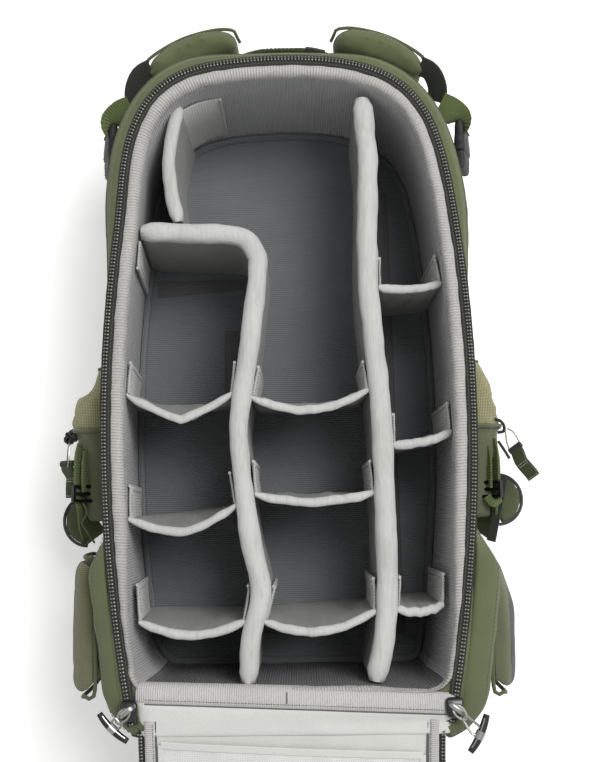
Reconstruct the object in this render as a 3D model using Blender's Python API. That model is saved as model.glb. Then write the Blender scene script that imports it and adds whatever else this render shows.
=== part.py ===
"""Rear-access camera backpack, lying on its front with the back panel unzipped and folded out past its base.

Frame: metres. +Z points out of the open compartment, +Y to the head end, +X to the right of someone who looks
into the bag with its head end away from them. The origin is the middle of the flat face the bag rests on.

The back panel is modelled shut, on the rim, and then turned about the base hinge to where it lies open.
"""

import math

import bmesh
import bpy
from mathutils import Matrix, Vector

# ---------------------------------------------------------------- driving dimensions
GAP = 0.0004                    # clearance kept between touching pieces
WEB_THICKNESS = 0.002

# zipper line of the opening: two side arcs and a round head
HALF_WIDTH = 0.151
SIDE_RADIUS = 1.250
WIDEST_Y = -0.035
SHOULDER_Y = 0.150
HEAD_Y = 0.2665
SIDE_CENTRE_X = HALF_WIDTH - SIDE_RADIUS

# layers of the body, from the table up
POCKET_TOP = 0.030
FRONT_TOP = 0.036
FLOOR_TOP = 0.050
LINER_TOP = 0.180
GUSSET_TOP = 0.187
CHAIN_BASE = 0.1885
CHAIN_TOP = 0.1910

# base end of the body
LINER_BASE_Y = -0.2555
LINER_BACK_Y = -0.2600
GUSSET_FACE_Y = -0.2683         # recess that the open back panel hangs in front of
EAR_Y = -0.2870                 # corners that carry the ends of the zipper
NOTCH_X = 0.1135
EAR_X = 0.1165

# the gusset stands out less along the waist: where its full growth fades in towards head and base
WAIST_TO_HEAD = (0.040, 0.150)
WAIST_TO_BASE = (-0.130, -0.225)

# offsets from the zipper line, outwards positive
OPENING_OFF = -0.0148
LINER_OFF = -0.0045
CHAIN_HALF = 0.0016
TAPE_OUT = 0.0022

# back panel
HINGE_Y = -0.270
HINGE_Z = 0.191
PANEL_DROP = math.radians(17.2)
PANEL_OPEN = math.radians(180.0) + PANEL_DROP
PANEL_NEAR = 0.120              # half width of the panel's chain next to the hinge
PANEL_SPREAD_FROM = 0.040       # the panel widens to the body's outline between these distances from the hinge
PANEL_SPREAD_TO = 0.130
PANEL_CHAIN_OFF = -0.0045
PANEL_CHAIN_START = 0.020
PANEL_START = 0.006
PANEL_EDGE_OFF = -0.0133

# zipper sliders
SLIDER_Y = -0.271
SLIDER_HALF_LENGTH = 0.0068
SLIDER_PLATE = 0.0026
BAIL_WIRE = 0.0008

# bumpers round the base corners: radius in plan, and the faces' distances from the zipper line and the ears
BOOT_RADIUS = 0.045
BOOT_FACES = ((0.0172, -0.2954), (0.0200, -0.2982))
BOOT_LOW, BOOT_HIGH = 0.060, 0.140

# dividers
DIVIDER_TOP = 0.177
SHORT_TOP = 0.170
DIVIDER_FOOT = FLOOR_TOP + GAP
SHORT_THICKNESS = 0.007

SIDES = {"left": -1.0, "right": 1.0}

MATERIALS = {
    "green_nylon": ((0.135, 0.155, 0.085), 0.75, 0.0),
    "green_webbing": ((0.150, 0.185, 0.090), 0.80, 0.0),
    "olive_mesh": ((0.300, 0.300, 0.170), 0.85, 0.0),
    "dark_mesh": ((0.060, 0.062, 0.064), 0.85, 0.0),
    "liner_grey": ((0.130, 0.132, 0.135), 0.85, 0.0),
    "divider_grey": ((0.480, 0.475, 0.465), 0.70, 0.0),
    "binding_grey": ((0.500, 0.498, 0.490), 0.90, 0.0),
    "panel_lining": ((0.600, 0.605, 0.570), 0.75, 0.0),
    "panel_mesh": ((0.660, 0.660, 0.660), 0.80, 0.0),
    "zipper_tape": ((0.030, 0.032, 0.024), 0.85, 0.0),
    "zipper_teeth": ((0.110, 0.110, 0.100), 0.45, 0.0),
    "black_plastic": ((0.022, 0.022, 0.023), 0.45, 0.0),
    "steel": ((0.700, 0.690, 0.670), 0.30, 1.0),
    "stiffener": ((0.050, 0.050, 0.050), 0.60, 0.0),
    "base_nylon": ((0.095, 0.110, 0.062), 0.80, 0.0),
}


# ---------------------------------------------------------------- scene helpers
def clear_scene():
    for obj in list(bpy.data.objects):
        bpy.data.objects.remove(obj, do_unlink=True)


def material(slot):
    found = bpy.data.materials.get(slot)
    if found:
        return found
    colour, roughness, metallic = MATERIALS[slot]
    made = bpy.data.materials.new(slot)
    made.use_nodes = True
    shader = made.node_tree.nodes["Principled BSDF"]
    shader.inputs["Base Color"].default_value = (*colour, 1.0)
    shader.inputs["Roughness"].default_value = roughness
    shader.inputs["Metallic"].default_value = metallic
    return made


def add_object(name, bm, slot, origin=(0.0, 0.0, 0.0), smooth=True):
    """Object from a bmesh in world coordinates, with its origin moved to the given point."""
    bmesh.ops.recalc_face_normals(bm, faces=bm.faces)
    bmesh.ops.translate(bm, verts=bm.verts, vec=-Vector(origin))
    mesh = bpy.data.meshes.new(name)
    bm.to_mesh(mesh)
    bm.free()
    if smooth:
        mesh.shade_smooth()
        mesh.set_sharp_from_angle(angle=math.radians(35.0))
    mesh.materials.append(material(slot))
    obj = bpy.data.objects.new(name, mesh)
    obj.location = origin
    bpy.context.scene.collection.objects.link(obj)
    return obj


def loft_into(bm, loops, closed=False):
    """Skins equal loops of points in order, and caps both ends or joins the last loop to the first."""
    rings = [[bm.verts.new(point) for point in loop] for loop in loops]
    pairs = list(zip(rings, rings[1:]))
    if closed:
        pairs.append((rings[-1], rings[0]))
    for lower, upper in pairs:
        for i in range(len(lower)):
            j = (i + 1) % len(lower)
            bm.faces.new((lower[i], lower[j], upper[j], upper[i]))
    if not closed:
        bm.faces.new(rings[0])
        bm.faces.new(rings[-1])
    return rings


def loft(name, loops, slot, origin=(0.0, 0.0, 0.0), closed=False, smooth=True):
    bm = bmesh.new()
    loft_into(bm, loops, closed)
    return add_object(name, bm, slot, origin, smooth)


def box_loop(x0, x1, z0, z1, y, corner):
    """Rectangle in the XZ plane at y with its corners cut, anticlockwise seen from -Y."""
    return [
        (x0 + corner, y, z0), (x1 - corner, y, z0), (x1, y, z0 + corner), (x1, y, z1 - corner),
        (x1 - corner, y, z1), (x0 + corner, y, z1), (x0, y, z1 - corner), (x0, y, z0 + corner),
    ]


def block_into(bm, low, high, bevel):
    """Box with bevelled edges."""
    size = Vector(high) - Vector(low)
    middle = (Vector(high) + Vector(low)) / 2
    matrix = Matrix.Translation(middle) @ Matrix.Diagonal((*size, 1.0))
    made = bmesh.ops.create_cube(bm, size=1.0, matrix=matrix)
    edges = list({edge for vert in made["verts"] for edge in vert.link_edges})
    if bevel > 0.0:
        bmesh.ops.bevel(bm, geom=edges, offset=bevel, segments=1, affect="EDGES")


def block(name, low, high, slot, bevel=0.0015, origin=(0.0, 0.0, 0.0)):
    bm = bmesh.new()
    block_into(bm, low, high, bevel)
    return add_object(name, bm, slot, origin)


def strap_loops(path, width_axis, width, thickness):
    """Sections of webbing along a path: width lies along width_axis, thickness across it."""
    wide = Vector(width_axis).normalized() * width / 2
    points = [Vector(point) for point in path]
    loops = []
    for i, point in enumerate(points):
        along = points[min(i + 1, len(points) - 1)] - points[max(i - 1, 0)]
        thick = along.cross(wide).normalized() * thickness / 2
        loops.append([point - wide - thick, point + wide - thick, point + wide + thick, point - wide + thick])
    return loops


def strap(name, path, width_axis, width, thickness, slot, origin=(0.0, 0.0, 0.0)):
    return loft(name, strap_loops(path, width_axis, width, thickness), slot, origin)


def tube_loops(path, radius, sides=8):
    """Sections of round wire along a path of points."""
    points = [Vector(point) for point in path]
    loops = []
    across = None
    for i, point in enumerate(points):
        along = (points[min(i + 1, len(points) - 1)] - points[max(i - 1, 0)]).normalized()
        if across is None:
            across = along.orthogonal().normalized()
        across = (across - along * across.dot(along)).normalized()
        other = along.cross(across)
        turn = [2 * math.pi * k / sides for k in range(sides)]
        loops.append([point + (across * math.cos(a) + other * math.sin(a)) * radius for a in turn])
    return loops


def tube(name, path, radius, slot, sides=8, origin=(0.0, 0.0, 0.0)):
    return loft(name, tube_loops(path, radius, sides), slot, origin)


def union_object(name, bm, slot, origin=(0.0, 0.0, 0.0)):
    """Joins the overlapping closed shells of a bmesh into one body."""
    shells = []
    seen = set()
    for start in bm.verts:
        if start in seen:
            continue
        stack, group = [start], []
        seen.add(start)
        while stack:
            vert = stack.pop()
            group.append(vert)
            for edge in vert.link_edges:
                other = edge.other_vert(vert)
                if other not in seen:
                    seen.add(other)
                    stack.append(other)
        shells.append(group)
    bm.verts.index_update()
    pieces = []
    for number, group in enumerate(shells):
        part = bmesh.new()
        copies = {vert: part.verts.new(vert.co) for vert in group}
        for face in bm.faces:
            if face.verts[0] in copies:
                part.faces.new([copies[vert] for vert in face.verts])
        label = name if number == 0 else name + "_add_" + str(number)
        pieces.append(add_object(label, part, slot, origin))
    bm.free()
    for piece in pieces[1:]:
        piece.hide_render = True
        piece.display_type = "WIRE"
        join = pieces[0].modifiers.new("join_" + piece.name, "BOOLEAN")
        join.operation = "UNION"
        join.solver = "EXACT"
        join.object = piece
    return pieces[0]


def smooth_path(points, steps):
    """Catmull-Rom curve through the points, with the given number of steps in each span."""
    knots = [Vector(p) for p in points]
    knots = [2 * knots[0] - knots[1]] + knots + [2 * knots[-1] - knots[-2]]
    out = []
    for i in range(1, len(knots) - 2):
        a, b, c, d = knots[i - 1:i + 3]
        for k in range(steps):
            t = k / steps
            out.append(0.5 * (2 * b + (c - a) * t + (2 * a - 5 * b + 4 * c - d) * t ** 2
                              + (3 * b - a - 3 * c + d) * t ** 3))
    out.append(knots[-2])
    return out


# ---------------------------------------------------------------- outlines
def side_x(y, grow=0.0):
    """Half width of the zipper line's side arc at y, grown outwards."""
    radius = SIDE_RADIUS + grow
    return SIDE_CENTRE_X + math.sqrt(radius ** 2 - (y - WIDEST_Y) ** 2)


def bulge(y, waist):
    """Share of the outward growth at y: the waist value along the middle, full at the head and base corners."""
    head = min(max((y - WAIST_TO_HEAD[0]) / (WAIST_TO_HEAD[1] - WAIST_TO_HEAD[0]), 0.0), 1.0)
    base = min(max((y - WAIST_TO_BASE[0]) / (WAIST_TO_BASE[1] - WAIST_TO_BASE[0]), 0.0), 1.0)
    return waist + (1.0 - waist) * max(head, base)


def crown(grow, count):
    """Points of the head curve from the end of the side arc to the middle, grown along its normal."""
    lean = -(SHOULDER_Y - WIDEST_Y) / SIDE_RADIUS
    start = Vector((side_x(SHOULDER_Y), SHOULDER_Y))
    knots = [start, start + Vector((lean, 1.0)) * 0.084, Vector((0.100, HEAD_Y)), Vector((0.0, HEAD_Y))]
    points = []
    for k in range(1, count + 1):
        t = k / count
        s = 1.0 - t
        point = knots[0] * s ** 3 + knots[1] * 3 * s * s * t + knots[2] * 3 * s * t * t + knots[3] * t ** 3
        slope = ((knots[1] - knots[0]) * s * s + (knots[2] - knots[1]) * 2 * s * t + (knots[3] - knots[2]) * t * t)
        normal = Vector((slope.y, -slope.x)).normalized()
        points.append(point + normal * grow)
    points[-1].x = 0.0
    return points


def mirrored(half):
    """Closed loop from a half that runs from the base middle, up the right side, to the head middle."""
    left = [Vector((-point.x, point.y)) for point in half[-2:0:-1]]
    return half + left


def outline(grow, base_y, ear_y=None, corner=0.020, waist=1.0, sides=7, head=8):
    """Closed outline of the body, offset from the zipper line, with an optional notch in its base."""
    notched = ear_y is not None
    turn_y = (ear_y if notched else base_y) + corner
    reach = side_x(turn_y, grow)
    bend_x = reach - corner
    first = math.asin(max(0.0, EAR_X - bend_x) / corner) if notched else 0.0
    half = [Vector((0.0, base_y)), Vector((NOTCH_X if notched else 0.9 * bend_x, base_y))]
    for k in range(5):
        angle = first + (math.pi / 2 - first) * k / 4
        half.append(Vector((bend_x + corner * math.sin(angle), turn_y - corner * math.cos(angle))))
    for k in range(1, sides + 1):
        y = turn_y + (SHOULDER_Y - turn_y) * k / sides
        half.append(Vector((side_x(y, grow * bulge(y, waist)), y)))
    half += crown(grow, head)
    return mirrored(half)


ZIPPER_STEPS = (0.040, 0.060, 0.080, 0.100, 0.130, 0.190, 0.250, 0.310, 0.365, SHOULDER_Y - HINGE_Y)


def zipper_half(grow, start_y, pinch=None, head=8):
    """Right half of the zipper line from start_y to the head middle."""
    points = []
    for y in (start_y,) + tuple(HINGE_Y + step for step in ZIPPER_STEPS):
        x = side_x(y, grow)
        if pinch:
            x = pinch(x, y, grow)
        points.append(Vector((x, y)))
    return points + crown(grow, head)


def u_strip(inner_off, outer_off, z0, z1, start_y, pinch=None):
    """Loops of a strip that follows the zipper line round the head, from one base end to the other."""
    inner = zipper_half(inner_off, start_y, pinch)
    outer = zipper_half(outer_off, start_y, pinch)
    inner += [Vector((-p.x, p.y)) for p in inner[-2::-1]]
    outer += [Vector((-p.x, p.y)) for p in outer[-2::-1]]
    return [[(a.x, a.y, z0), (b.x, b.y, z0), (b.x, b.y, z1), (a.x, a.y, z1)] for a, b in zip(inner, outer)]


def flat_loop(points, z):
    return [(point.x, point.y, z) for point in points]


# ---------------------------------------------------------------- body shell
def make_body_shell():
    levels = (
        (FRONT_TOP + GAP, 0.004, -0.272, -0.274, 0.035, 1.0),
        (0.060, 0.012, -0.286, -0.288, 0.045, 1.0),
        (0.105, 0.016, -0.292, -0.294, 0.045, 0.95),
        (0.146, 0.014, -0.284, -0.292, 0.040, 0.60),
        (0.160, 0.012, -0.2690, -0.290, 0.034, 0.45),
        (GUSSET_TOP, 0.005, GUSSET_FACE_Y, EAR_Y, 0.022, 0.50),
    )
    inner_base = LINER_BACK_Y - 0.0006
    inner = [flat_loop(outline(LINER_OFF + 0.0006, inner_base), z) for z in (GUSSET_TOP, FRONT_TOP + GAP)]
    outer = [flat_loop(outline(grow, mid, ear, corner, waist), z) for z, grow, mid, ear, corner, waist in levels]
    loft("gusset", outer + inner, "green_nylon", closed=True)

    front = ((POCKET_TOP + GAP, -0.012, -0.258), (0.0335, 0.001, -0.270), (FRONT_TOP, 0.003, -0.2725))
    loft("front_panel", [flat_loop(outline(grow, base, None, 0.035), z) for z, grow, base in front], "green_nylon")

    pocket = ((0.0, -0.040, -0.222), (0.006, -0.030, -0.234), (0.022, -0.026, -0.238), (POCKET_TOP, -0.030, -0.234))
    loft("front_pocket", [flat_loop(outline(grow, base, None, 0.020), z) for z, grow, base in pocket], "green_nylon")


def make_base_boot():
    """Abrasion-proof strip round both base corners."""
    for name, sign in SIDES.items():
        inner, outer = [], []
        for (grow, ear), store in zip(BOOT_FACES, (inner, outer)):
            centre_y = ear + BOOT_RADIUS
            centre_x = side_x(centre_y, grow) - BOOT_RADIUS
            for k in range(7):
                angle = math.pi / 2 * k / 6
                store.append((centre_x + BOOT_RADIUS * math.sin(angle), centre_y - BOOT_RADIUS * math.cos(angle)))
        loops = []
        for a, b in zip(inner, outer):
            loops.append([(sign * a[0], a[1], BOOT_LOW), (sign * b[0], b[1], BOOT_LOW + 0.004),
                          (sign * b[0], b[1], BOOT_HIGH - 0.004), (sign * a[0], a[1], BOOT_HIGH)])
        loft("base_corner_" + name, loops, "base_nylon")


def make_liner():
    floor = outline(LINER_OFF, LINER_BACK_Y)
    loft("liner_floor", [flat_loop(floor, FRONT_TOP + GAP), flat_loop(floor, FLOOR_TOP)], "liner_grey")
    inner = outline(OPENING_OFF, LINER_BASE_Y, None, 0.014)
    outer = outline(LINER_OFF, LINER_BACK_Y)
    low = FLOOR_TOP + GAP
    loft("liner_wall", [flat_loop(outer, low), flat_loop(outer, LINER_TOP), flat_loop(inner, LINER_TOP),
                        flat_loop(inner, low)], "liner_grey", closed=True)
    low = LINER_TOP + GAP
    top = GUSSET_TOP + 0.0006
    loft("rim_binding", [flat_loop(outer, low), flat_loop(outer, top), flat_loop(inner, top),
                         flat_loop(inner, low)], "binding_grey", closed=True)


def make_body_zipper():
    end = EAR_Y + 0.0035
    tape = u_strip(LINER_OFF + GAP, TAPE_OUT, GUSSET_TOP + GAP, CHAIN_BASE - GAP, end)
    loft("zipper_tape_body", tape, "zipper_tape")
    loft("zipper_chain_body", u_strip(-CHAIN_HALF, CHAIN_HALF, CHAIN_BASE, CHAIN_TOP, end), "zipper_teeth")


# ---------------------------------------------------------------- dividers
def inner_x(y):
    """Half width inside the liner walls."""
    return side_x(y, OPENING_OFF)


def inner_head_y(x):
    """y of the liner wall's inner face at the head end."""
    arc = crown(OPENING_OFF, 40)
    for a, b in zip(arc, arc[1:]):
        if b.x <= x <= a.x:
            return b.y + (a.y - b.y) * (x - b.x) / (a.x - b.x)
    return arc[-1].y


def wall_of(path, thickness, foot, top, crest):
    """Loops of an upright padded wall along a path in the floor plane, rounded along its top."""
    points = [Vector((*point, 0.0)) for point in path]
    loops = []
    for i, point in enumerate(points):
        along = points[min(i + 1, len(points) - 1)] - points[max(i - 1, 0)]
        side = Vector((-along.y, along.x, 0.0)).normalized()
        half = thickness / 2
        profile = ((-half, foot), (half, foot), (half, top - crest), (half - crest, top), (crest - half, top),
                   (-half, top - crest))
        loops.append([point + side * off + Vector((0.0, 0.0, z)) for off, z in profile])
    return loops


LONG_THICKNESS = 0.015
LEFT_RUN = ((-0.0262, 0.1000), (-0.0252, 0.0900), (-0.0312, 0.0340), (-0.0400, -0.0250), (-0.0420, -0.0500),
            (-0.0397, -0.0830), (-0.0326, -0.1400), (-0.0240, -0.1800), (-0.0325, -0.2195), (-0.0348, -0.2535))
CENTRE_THICKNESS = 0.016
CENTRE_RUN = ((0.0685, 0.2050), (0.0699, 0.1888), (0.0691, 0.1448), (0.0678, 0.1013), (0.0691, 0.0583),
              (0.0746, -0.0010), (0.0777, -0.0512), (0.0785, -0.1086), (0.0795, -0.1572), (0.0788, -0.1890),
              (0.0757, -0.2207), (0.0685, -0.2535))


def make_long_dividers():
    start_x = inner_x(0.1215) - 0.0022
    across = ((-start_x, 0.1215), (-0.0850, 0.1195), (-0.0500, 0.1180), (-0.0345, 0.1130))
    path = smooth_path([(*p, 0.0) for p in across + LEFT_RUN], 1)
    loft("divider_left", wall_of([p.xy for p in path], LONG_THICKNESS, DIVIDER_FOOT, DIVIDER_TOP, 0.004),
         "divider_grey")
    head = (0.0660, inner_head_y(0.0660 + CENTRE_THICKNESS / 2) - 0.0030)
    path = smooth_path([(*p, 0.0) for p in (head,) + CENTRE_RUN], 1)
    loft("divider_centre", wall_of([p.xy for p in path], CENTRE_THICKNESS, DIVIDER_FOOT, DIVIDER_TOP, 0.004),
         "divider_grey")
    corner = ((-0.0890, inner_head_y(0.0970) - 0.0020), (-0.0995, 0.1920), (-0.1025, 0.1760), (-0.0995, 0.1540),
              (-0.0920, 0.1304))
    path = smooth_path([(*p, 0.0) for p in corner], 2)
    loft("divider_corner", wall_of([p.xy for p in path], 0.011, DIVIDER_FOOT, 0.168, 0.003), "divider_grey")


def run_x(run, y):
    """x of a long divider's middle line at y."""
    for a, b in zip(run, run[1:]):
        if b[1] <= y <= a[1]:
            return a[0] + (b[0] - a[0]) * (a[1] - y) / (a[1] - b[1])
    return run[-1][0]


def face_limit(edge, y):
    """x where a short divider may end against a long divider or the liner wall, tried across its own thickness."""
    run, sign, half = edge
    tries = [y + d for d in (-0.022, -0.010, 0.0, 0.006)]
    if run is None:
        return sign * min(inner_x(t) for t in tries)
    xs = [run_x(run, max(t, -0.2535)) + sign * half for t in tries]
    return max(xs) if sign > 0 else min(xs)


def short_divider(name, left_edge, right_edge, y_left, y_right, sag):
    """Stiff pad between two walls whose top edge bows towards the base end."""
    x0 = face_limit(left_edge, y_left) + 0.0010
    x1 = face_limit(right_edge, y_right) - 0.0010
    steps = 6
    half = SHORT_THICKNESS / 2
    middle_z = 0.5 * (DIVIDER_FOOT + SHORT_TOP)
    loops = []
    for k in range(steps + 1):
        t = k / steps
        x = x0 + (x1 - x0) * t
        y = y_left + (y_right - y_left) * t
        bow = sag * math.sin(math.pi * t)
        profile = ((y - half, DIVIDER_FOOT), (y + half, DIVIDER_FOOT), (y + half - 0.35 * bow, middle_z),
                   (y + half - bow, SHORT_TOP), (y - half - bow, SHORT_TOP), (y - half - 0.35 * bow, middle_z))
        loops.append([(x, py, pz) for py, pz in profile])
    loft(name, loops, "divider_grey")


def make_short_dividers():
    left_wall = (None, -1.0, 0.0)
    right_wall = (None, 1.0, 0.0)
    left_run_west = (LEFT_RUN, -1.0, LONG_THICKNESS / 2)
    left_run_east = (LEFT_RUN, 1.0, LONG_THICKNESS / 2)
    centre_west = (CENTRE_RUN, -1.0, CENTRE_THICKNESS / 2)
    centre_east = (CENTRE_RUN, 1.0, CENTRE_THICKNESS / 2)
    short_divider("divider_short_1", left_wall, left_run_west, -0.0189, -0.0182, 0.0215)
    short_divider("divider_short_2", left_wall, left_run_west, -0.1225, -0.1112, 0.0165)
    short_divider("divider_short_3", left_wall, left_run_west, -0.2056, -0.2059, 0.0115)
    short_divider("divider_short_4", left_run_east, centre_west, -0.0217, -0.0169, 0.0138)
    short_divider("divider_short_5", left_run_east, centre_west, -0.1032, -0.1027, 0.0066)
    short_divider("divider_short_6", left_run_east, centre_west, -0.2061, -0.1991, 0.0127)
    short_divider("divider_short_7", centre_east, right_wall, 0.0708, 0.0737, 0.0030)
    short_divider("divider_short_8", centre_east, right_wall, -0.0632, -0.0529, 0.0030)
    short_divider("divider_short_9", centre_east, right_wall, -0.1977, -0.1942, 0.0040)


# ---------------------------------------------------------------- head end
BOLSTER_Z = 0.147
BOLSTER_SPINE = ((0.0410, 0.2925), (0.0580, 0.2945), (0.0840, 0.2880), (0.1060, 0.2760), (0.1200, 0.2640))
BOLSTER_SIZES = (0.0050, 0.0095, 0.0104, 0.0108, 0.0108, 0.0106, 0.0102, 0.0090, 0.0045)
HANDLE_Z = 0.155
HANDLE_PATH = ((-0.0350, 0.2830), (-0.020, 0.2850), (0.0, 0.2856), (0.020, 0.2850), (0.0350, 0.2830))
HANDLE_WIDTH = 0.020
HANDLE_THICKNESS = 0.003
BUCKLE_Z = 0.142
BUCKLE_X = (0.1530, 0.1620)
FEMALE_Y, FEMALE_HALF = (0.1955, 0.2237), 0.016
MALE_Y, MALE_HALF = (0.1745, 0.1951), 0.014
BUCKLE_WEB = ((0.1430, 0.2300), (0.1505, 0.2280), (0.1550, 0.2220))
BUCKLE_WEB_WIDTH = 0.025


def make_head_end():
    """Padded bolsters at both head corners and the grab handle between them."""
    for name, sign in SIDES.items():
        spine = smooth_path([(sign * x, y, BOLSTER_Z) for x, y in BOLSTER_SPINE], 2)
        loops = []
        for i, point in enumerate(spine):
            along = spine[min(i + 1, len(spine) - 1)] - spine[max(i - 1, 0)]
            out = Vector((along.y, -along.x, 0.0)).normalized() * BOLSTER_SIZES[i]
            up = Vector((0.0, 0.0, 1.0)) * (0.008 + 2.0 * BOLSTER_SIZES[i])
            loops.append([point - out - up * 0.7, point - up, point + out - up * 0.7, point + out + up * 0.7,
                          point + up, point - out + up * 0.7])
        loft("head_bolster_" + name, loops, "green_nylon")
    path = smooth_path([(x, y, HANDLE_Z) for x, y in HANDLE_PATH], 2)
    strap("grab_handle", path, (0.0, 0.0, 1.0), HANDLE_WIDTH, HANDLE_THICKNESS, "green_webbing",
          origin=(0.0, HANDLE_PATH[0][1], HANDLE_Z))


def make_side_buckles():
    """Side-release buckles that hang from webbing on both upper sides."""
    for name, sign in SIDES.items():
        path = smooth_path([(sign * x, y, BUCKLE_Z) for x, y in BUCKLE_WEB], 3)
        bm = bmesh.new()
        x0, x1 = sorted(sign * x for x in BUCKLE_X)
        block_into(bm, (x0, FEMALE_Y[0], BUCKLE_Z - FEMALE_HALF), (x1, FEMALE_Y[1], BUCKLE_Z + FEMALE_HALF), 0.003)
        loft_into(bm, strap_loops(path, (0.0, 0.0, 1.0), BUCKLE_WEB_WIDTH, WEB_THICKNESS))
        union_object("buckle_female_" + name, bm, "black_plastic")
        block("buckle_male_" + name, (x0, MALE_Y[0], BUCKLE_Z - MALE_HALF),
              (x1, MALE_Y[1], BUCKLE_Z + MALE_HALF), "black_plastic", 0.003)


# ---------------------------------------------------------------- sides
# right-hand pocket from its foot to its mouth: y, inner and outer x, lower and upper z
POCKET_ROWS = (
    (-0.124, 0.1700, 0.1760, 0.050, 0.136),
    (-0.116, 0.1692, 0.1790, 0.044, 0.142),
    (-0.070, 0.1690, 0.1805, 0.042, 0.147),
    (-0.030, 0.1690, 0.1805, 0.042, 0.149),
    (0.010, 0.1690, 0.1779, 0.044, 0.149),
)
POCKET_WALL = 0.0022


def make_side_pockets():
    """Stretch pockets that open towards the head end."""
    for name, sign in SIDES.items():
        wall = POCKET_WALL
        outer = [box_loop(a, b, z0, z1, y, 0.004) for y, a, b, z0, z1 in POCKET_ROWS]
        inner = [box_loop(a + wall * 0.6, b - wall, z0 + wall, z1 - wall, y, 0.003)
                 for y, a, b, z0, z1 in POCKET_ROWS[:0:-1]]
        loops = outer + inner
        if sign < 0:
            loops = [[(-x, y, z) for x, y, z in loop] for loop in loops]
        loft("side_pocket_" + name, loops, "olive_mesh")


LASH_X = 0.1824                 # middle of the lash webbing on each side pocket
LASH_WIDTH = 0.020
HOOK_Z = 0.134
HOOK_WIRE = 0.0009
HOOK_TAB = (0.012, 0.004)       # width and thickness of the folded tab
FLAP_X = {"left": 0.1816, "right": 0.1862}
FLAP_Y = {"left": -0.123, "right": -0.108}
FLAP_LEVELS = ((0.0880, 0.0200), (0.0905, 0.0225), (0.0935, 0.0225), (0.0960, 0.0200))
FLAP_PIVOT_Z = 0.0965


def make_side_lashing():
    """Lash webbing with a ladder lock and the loop that a wire hook hangs from."""
    for name, sign in SIDES.items():
        x = sign * LASH_X
        bm = bmesh.new()
        loft_into(bm, strap_loops([(x, -0.062, 0.060), (x, -0.062, 0.100), (x, -0.062, 0.136)],
                                  (0.0, 1.0, 0.0), LASH_WIDTH, WEB_THICKNESS))
        for low, high in (((0.1828, -0.075, 0.108), (0.1886, -0.049, 0.126)),
                          ((0.1820, -0.056, 0.129), (0.1886, -0.045, 0.1392))):
            x0, x1 = sorted((sign * low[0], sign * high[0]))
            block_into(bm, (x0, low[1], low[2]), (x1, high[1], high[2]), 0.0012)
        union_object("lash_strap_" + name, bm, "green_webbing")


def make_hooks():
    """Bent wire hooks with a webbing tab on their free end: the right one splayed out, the left one along the side."""
    routes = {
        "right": ((0.1924, -0.0500), (0.1962, -0.0660), (0.2005, -0.0765), (0.2105, -0.0905)),
        "left": ((-0.1917, -0.0500), (-0.1935, -0.0790), (-0.1930, -0.0930), (-0.1910, -0.1070)),
    }
    spreads = {"right": 0.0042, "left": 0.0}
    for name, route in routes.items():
        root, tip, middle, end = [Vector((x, y, HOOK_Z)) for x, y in route]
        along = (tip - root).normalized()
        flat = spreads[name]
        side = Vector((-along.y, along.x, 0.0)) * flat if flat else Vector((0.0, 0.0, 0.0042))
        wire = smooth_path([root - side * 0.2, (root + tip) / 2 - side, tip - side, tip + side,
                            (root + tip) / 2 + side, root + side * 0.8], 3)
        bm = bmesh.new()
        loft_into(bm, tube_loops(wire, HOOK_WIRE, 6))
        loft_into(bm, strap_loops([tip - along * 0.0015, middle, end], (0.0, 0.0, 1.0), *HOOK_TAB))
        union_object("wire_hook_" + name, bm, "steel", root)


def make_side_flaps():
    """Round padded flaps that stand out from the foot of each side pocket."""
    for name, sign in SIDES.items():
        loops = []
        for z, radius in FLAP_LEVELS:
            loop = []
            for k in range(9):
                angle = -math.pi / 2 + math.pi * k / 8
                loop.append((sign * (FLAP_X[name] + radius * math.cos(angle) * 0.95),
                             FLAP_Y[name] + radius * math.sin(angle), z))
            loops.append(loop)
        loft("side_flap_" + name, loops, "green_nylon", origin=(sign * FLAP_X[name], FLAP_Y[name], FLAP_PIVOT_Z))


# right-hand wing from its root to its tip: x, half thickness, z, and the y of its head and base edges
WING_ROWS = (
    (0.1640, 0.0030, 0.1660, -0.156, -0.262),
    (0.1720, 0.0060, 0.1655, -0.154, -0.264),
    (0.1760, 0.0088, 0.1500, -0.152, -0.266),
    (0.1775, 0.0090, 0.1000, -0.152, -0.266),
    (0.1775, 0.0088, 0.0600, -0.158, -0.262),
    (0.1765, 0.0060, 0.0380, -0.170, -0.254),
    (0.1760, 0.0030, 0.0320, -0.178, -0.248),
)
WING_PIVOT = (0.1620, -0.212, 0.1660)
BELT_PATH = ((0.1755, 0.0310), (0.1745, 0.0120), (0.1650, 0.0045), (0.1520, 0.0040))
BELT_Y = -0.214
BELT_WIDTH = 0.038
BELT_BUCKLE = ((0.1260, -0.237, 0.0008), (0.1535, -0.191, 0.0120))


def make_hip_wings():
    """Padded hip-belt wings, folded down along the lower sides, with their belt webbing and buckle halves."""
    for name, sign in SIDES.items():
        loops = []
        for x, half, z, head, base in WING_ROWS:
            loops.append([(sign * (x - half), base + 0.006, z), (sign * x, base, z), (sign * (x + half), base + 0.006, z),
                          (sign * (x + half), head - 0.006, z), (sign * x, head, z), (sign * (x - half), head - 0.006, z)])
        pivot = (sign * WING_PIVOT[0], WING_PIVOT[1], WING_PIVOT[2])
        loft("hip_wing_" + name, loops, "green_nylon", origin=pivot)
        path = smooth_path([(sign * x, BELT_Y, z) for x, z in BELT_PATH], 3)
        bm = bmesh.new()
        low, high = BELT_BUCKLE
        x0, x1 = sorted((sign * low[0], sign * high[0]))
        block_into(bm, (x0, low[1], low[2]), (x1, high[1], high[2]), 0.003)
        loft_into(bm, strap_loops(path, (0.0, 1.0, 0.0), BELT_WIDTH, WEB_THICKNESS))
        union_object("hip_buckle_" + name, bm, "black_plastic", pivot)


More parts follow.
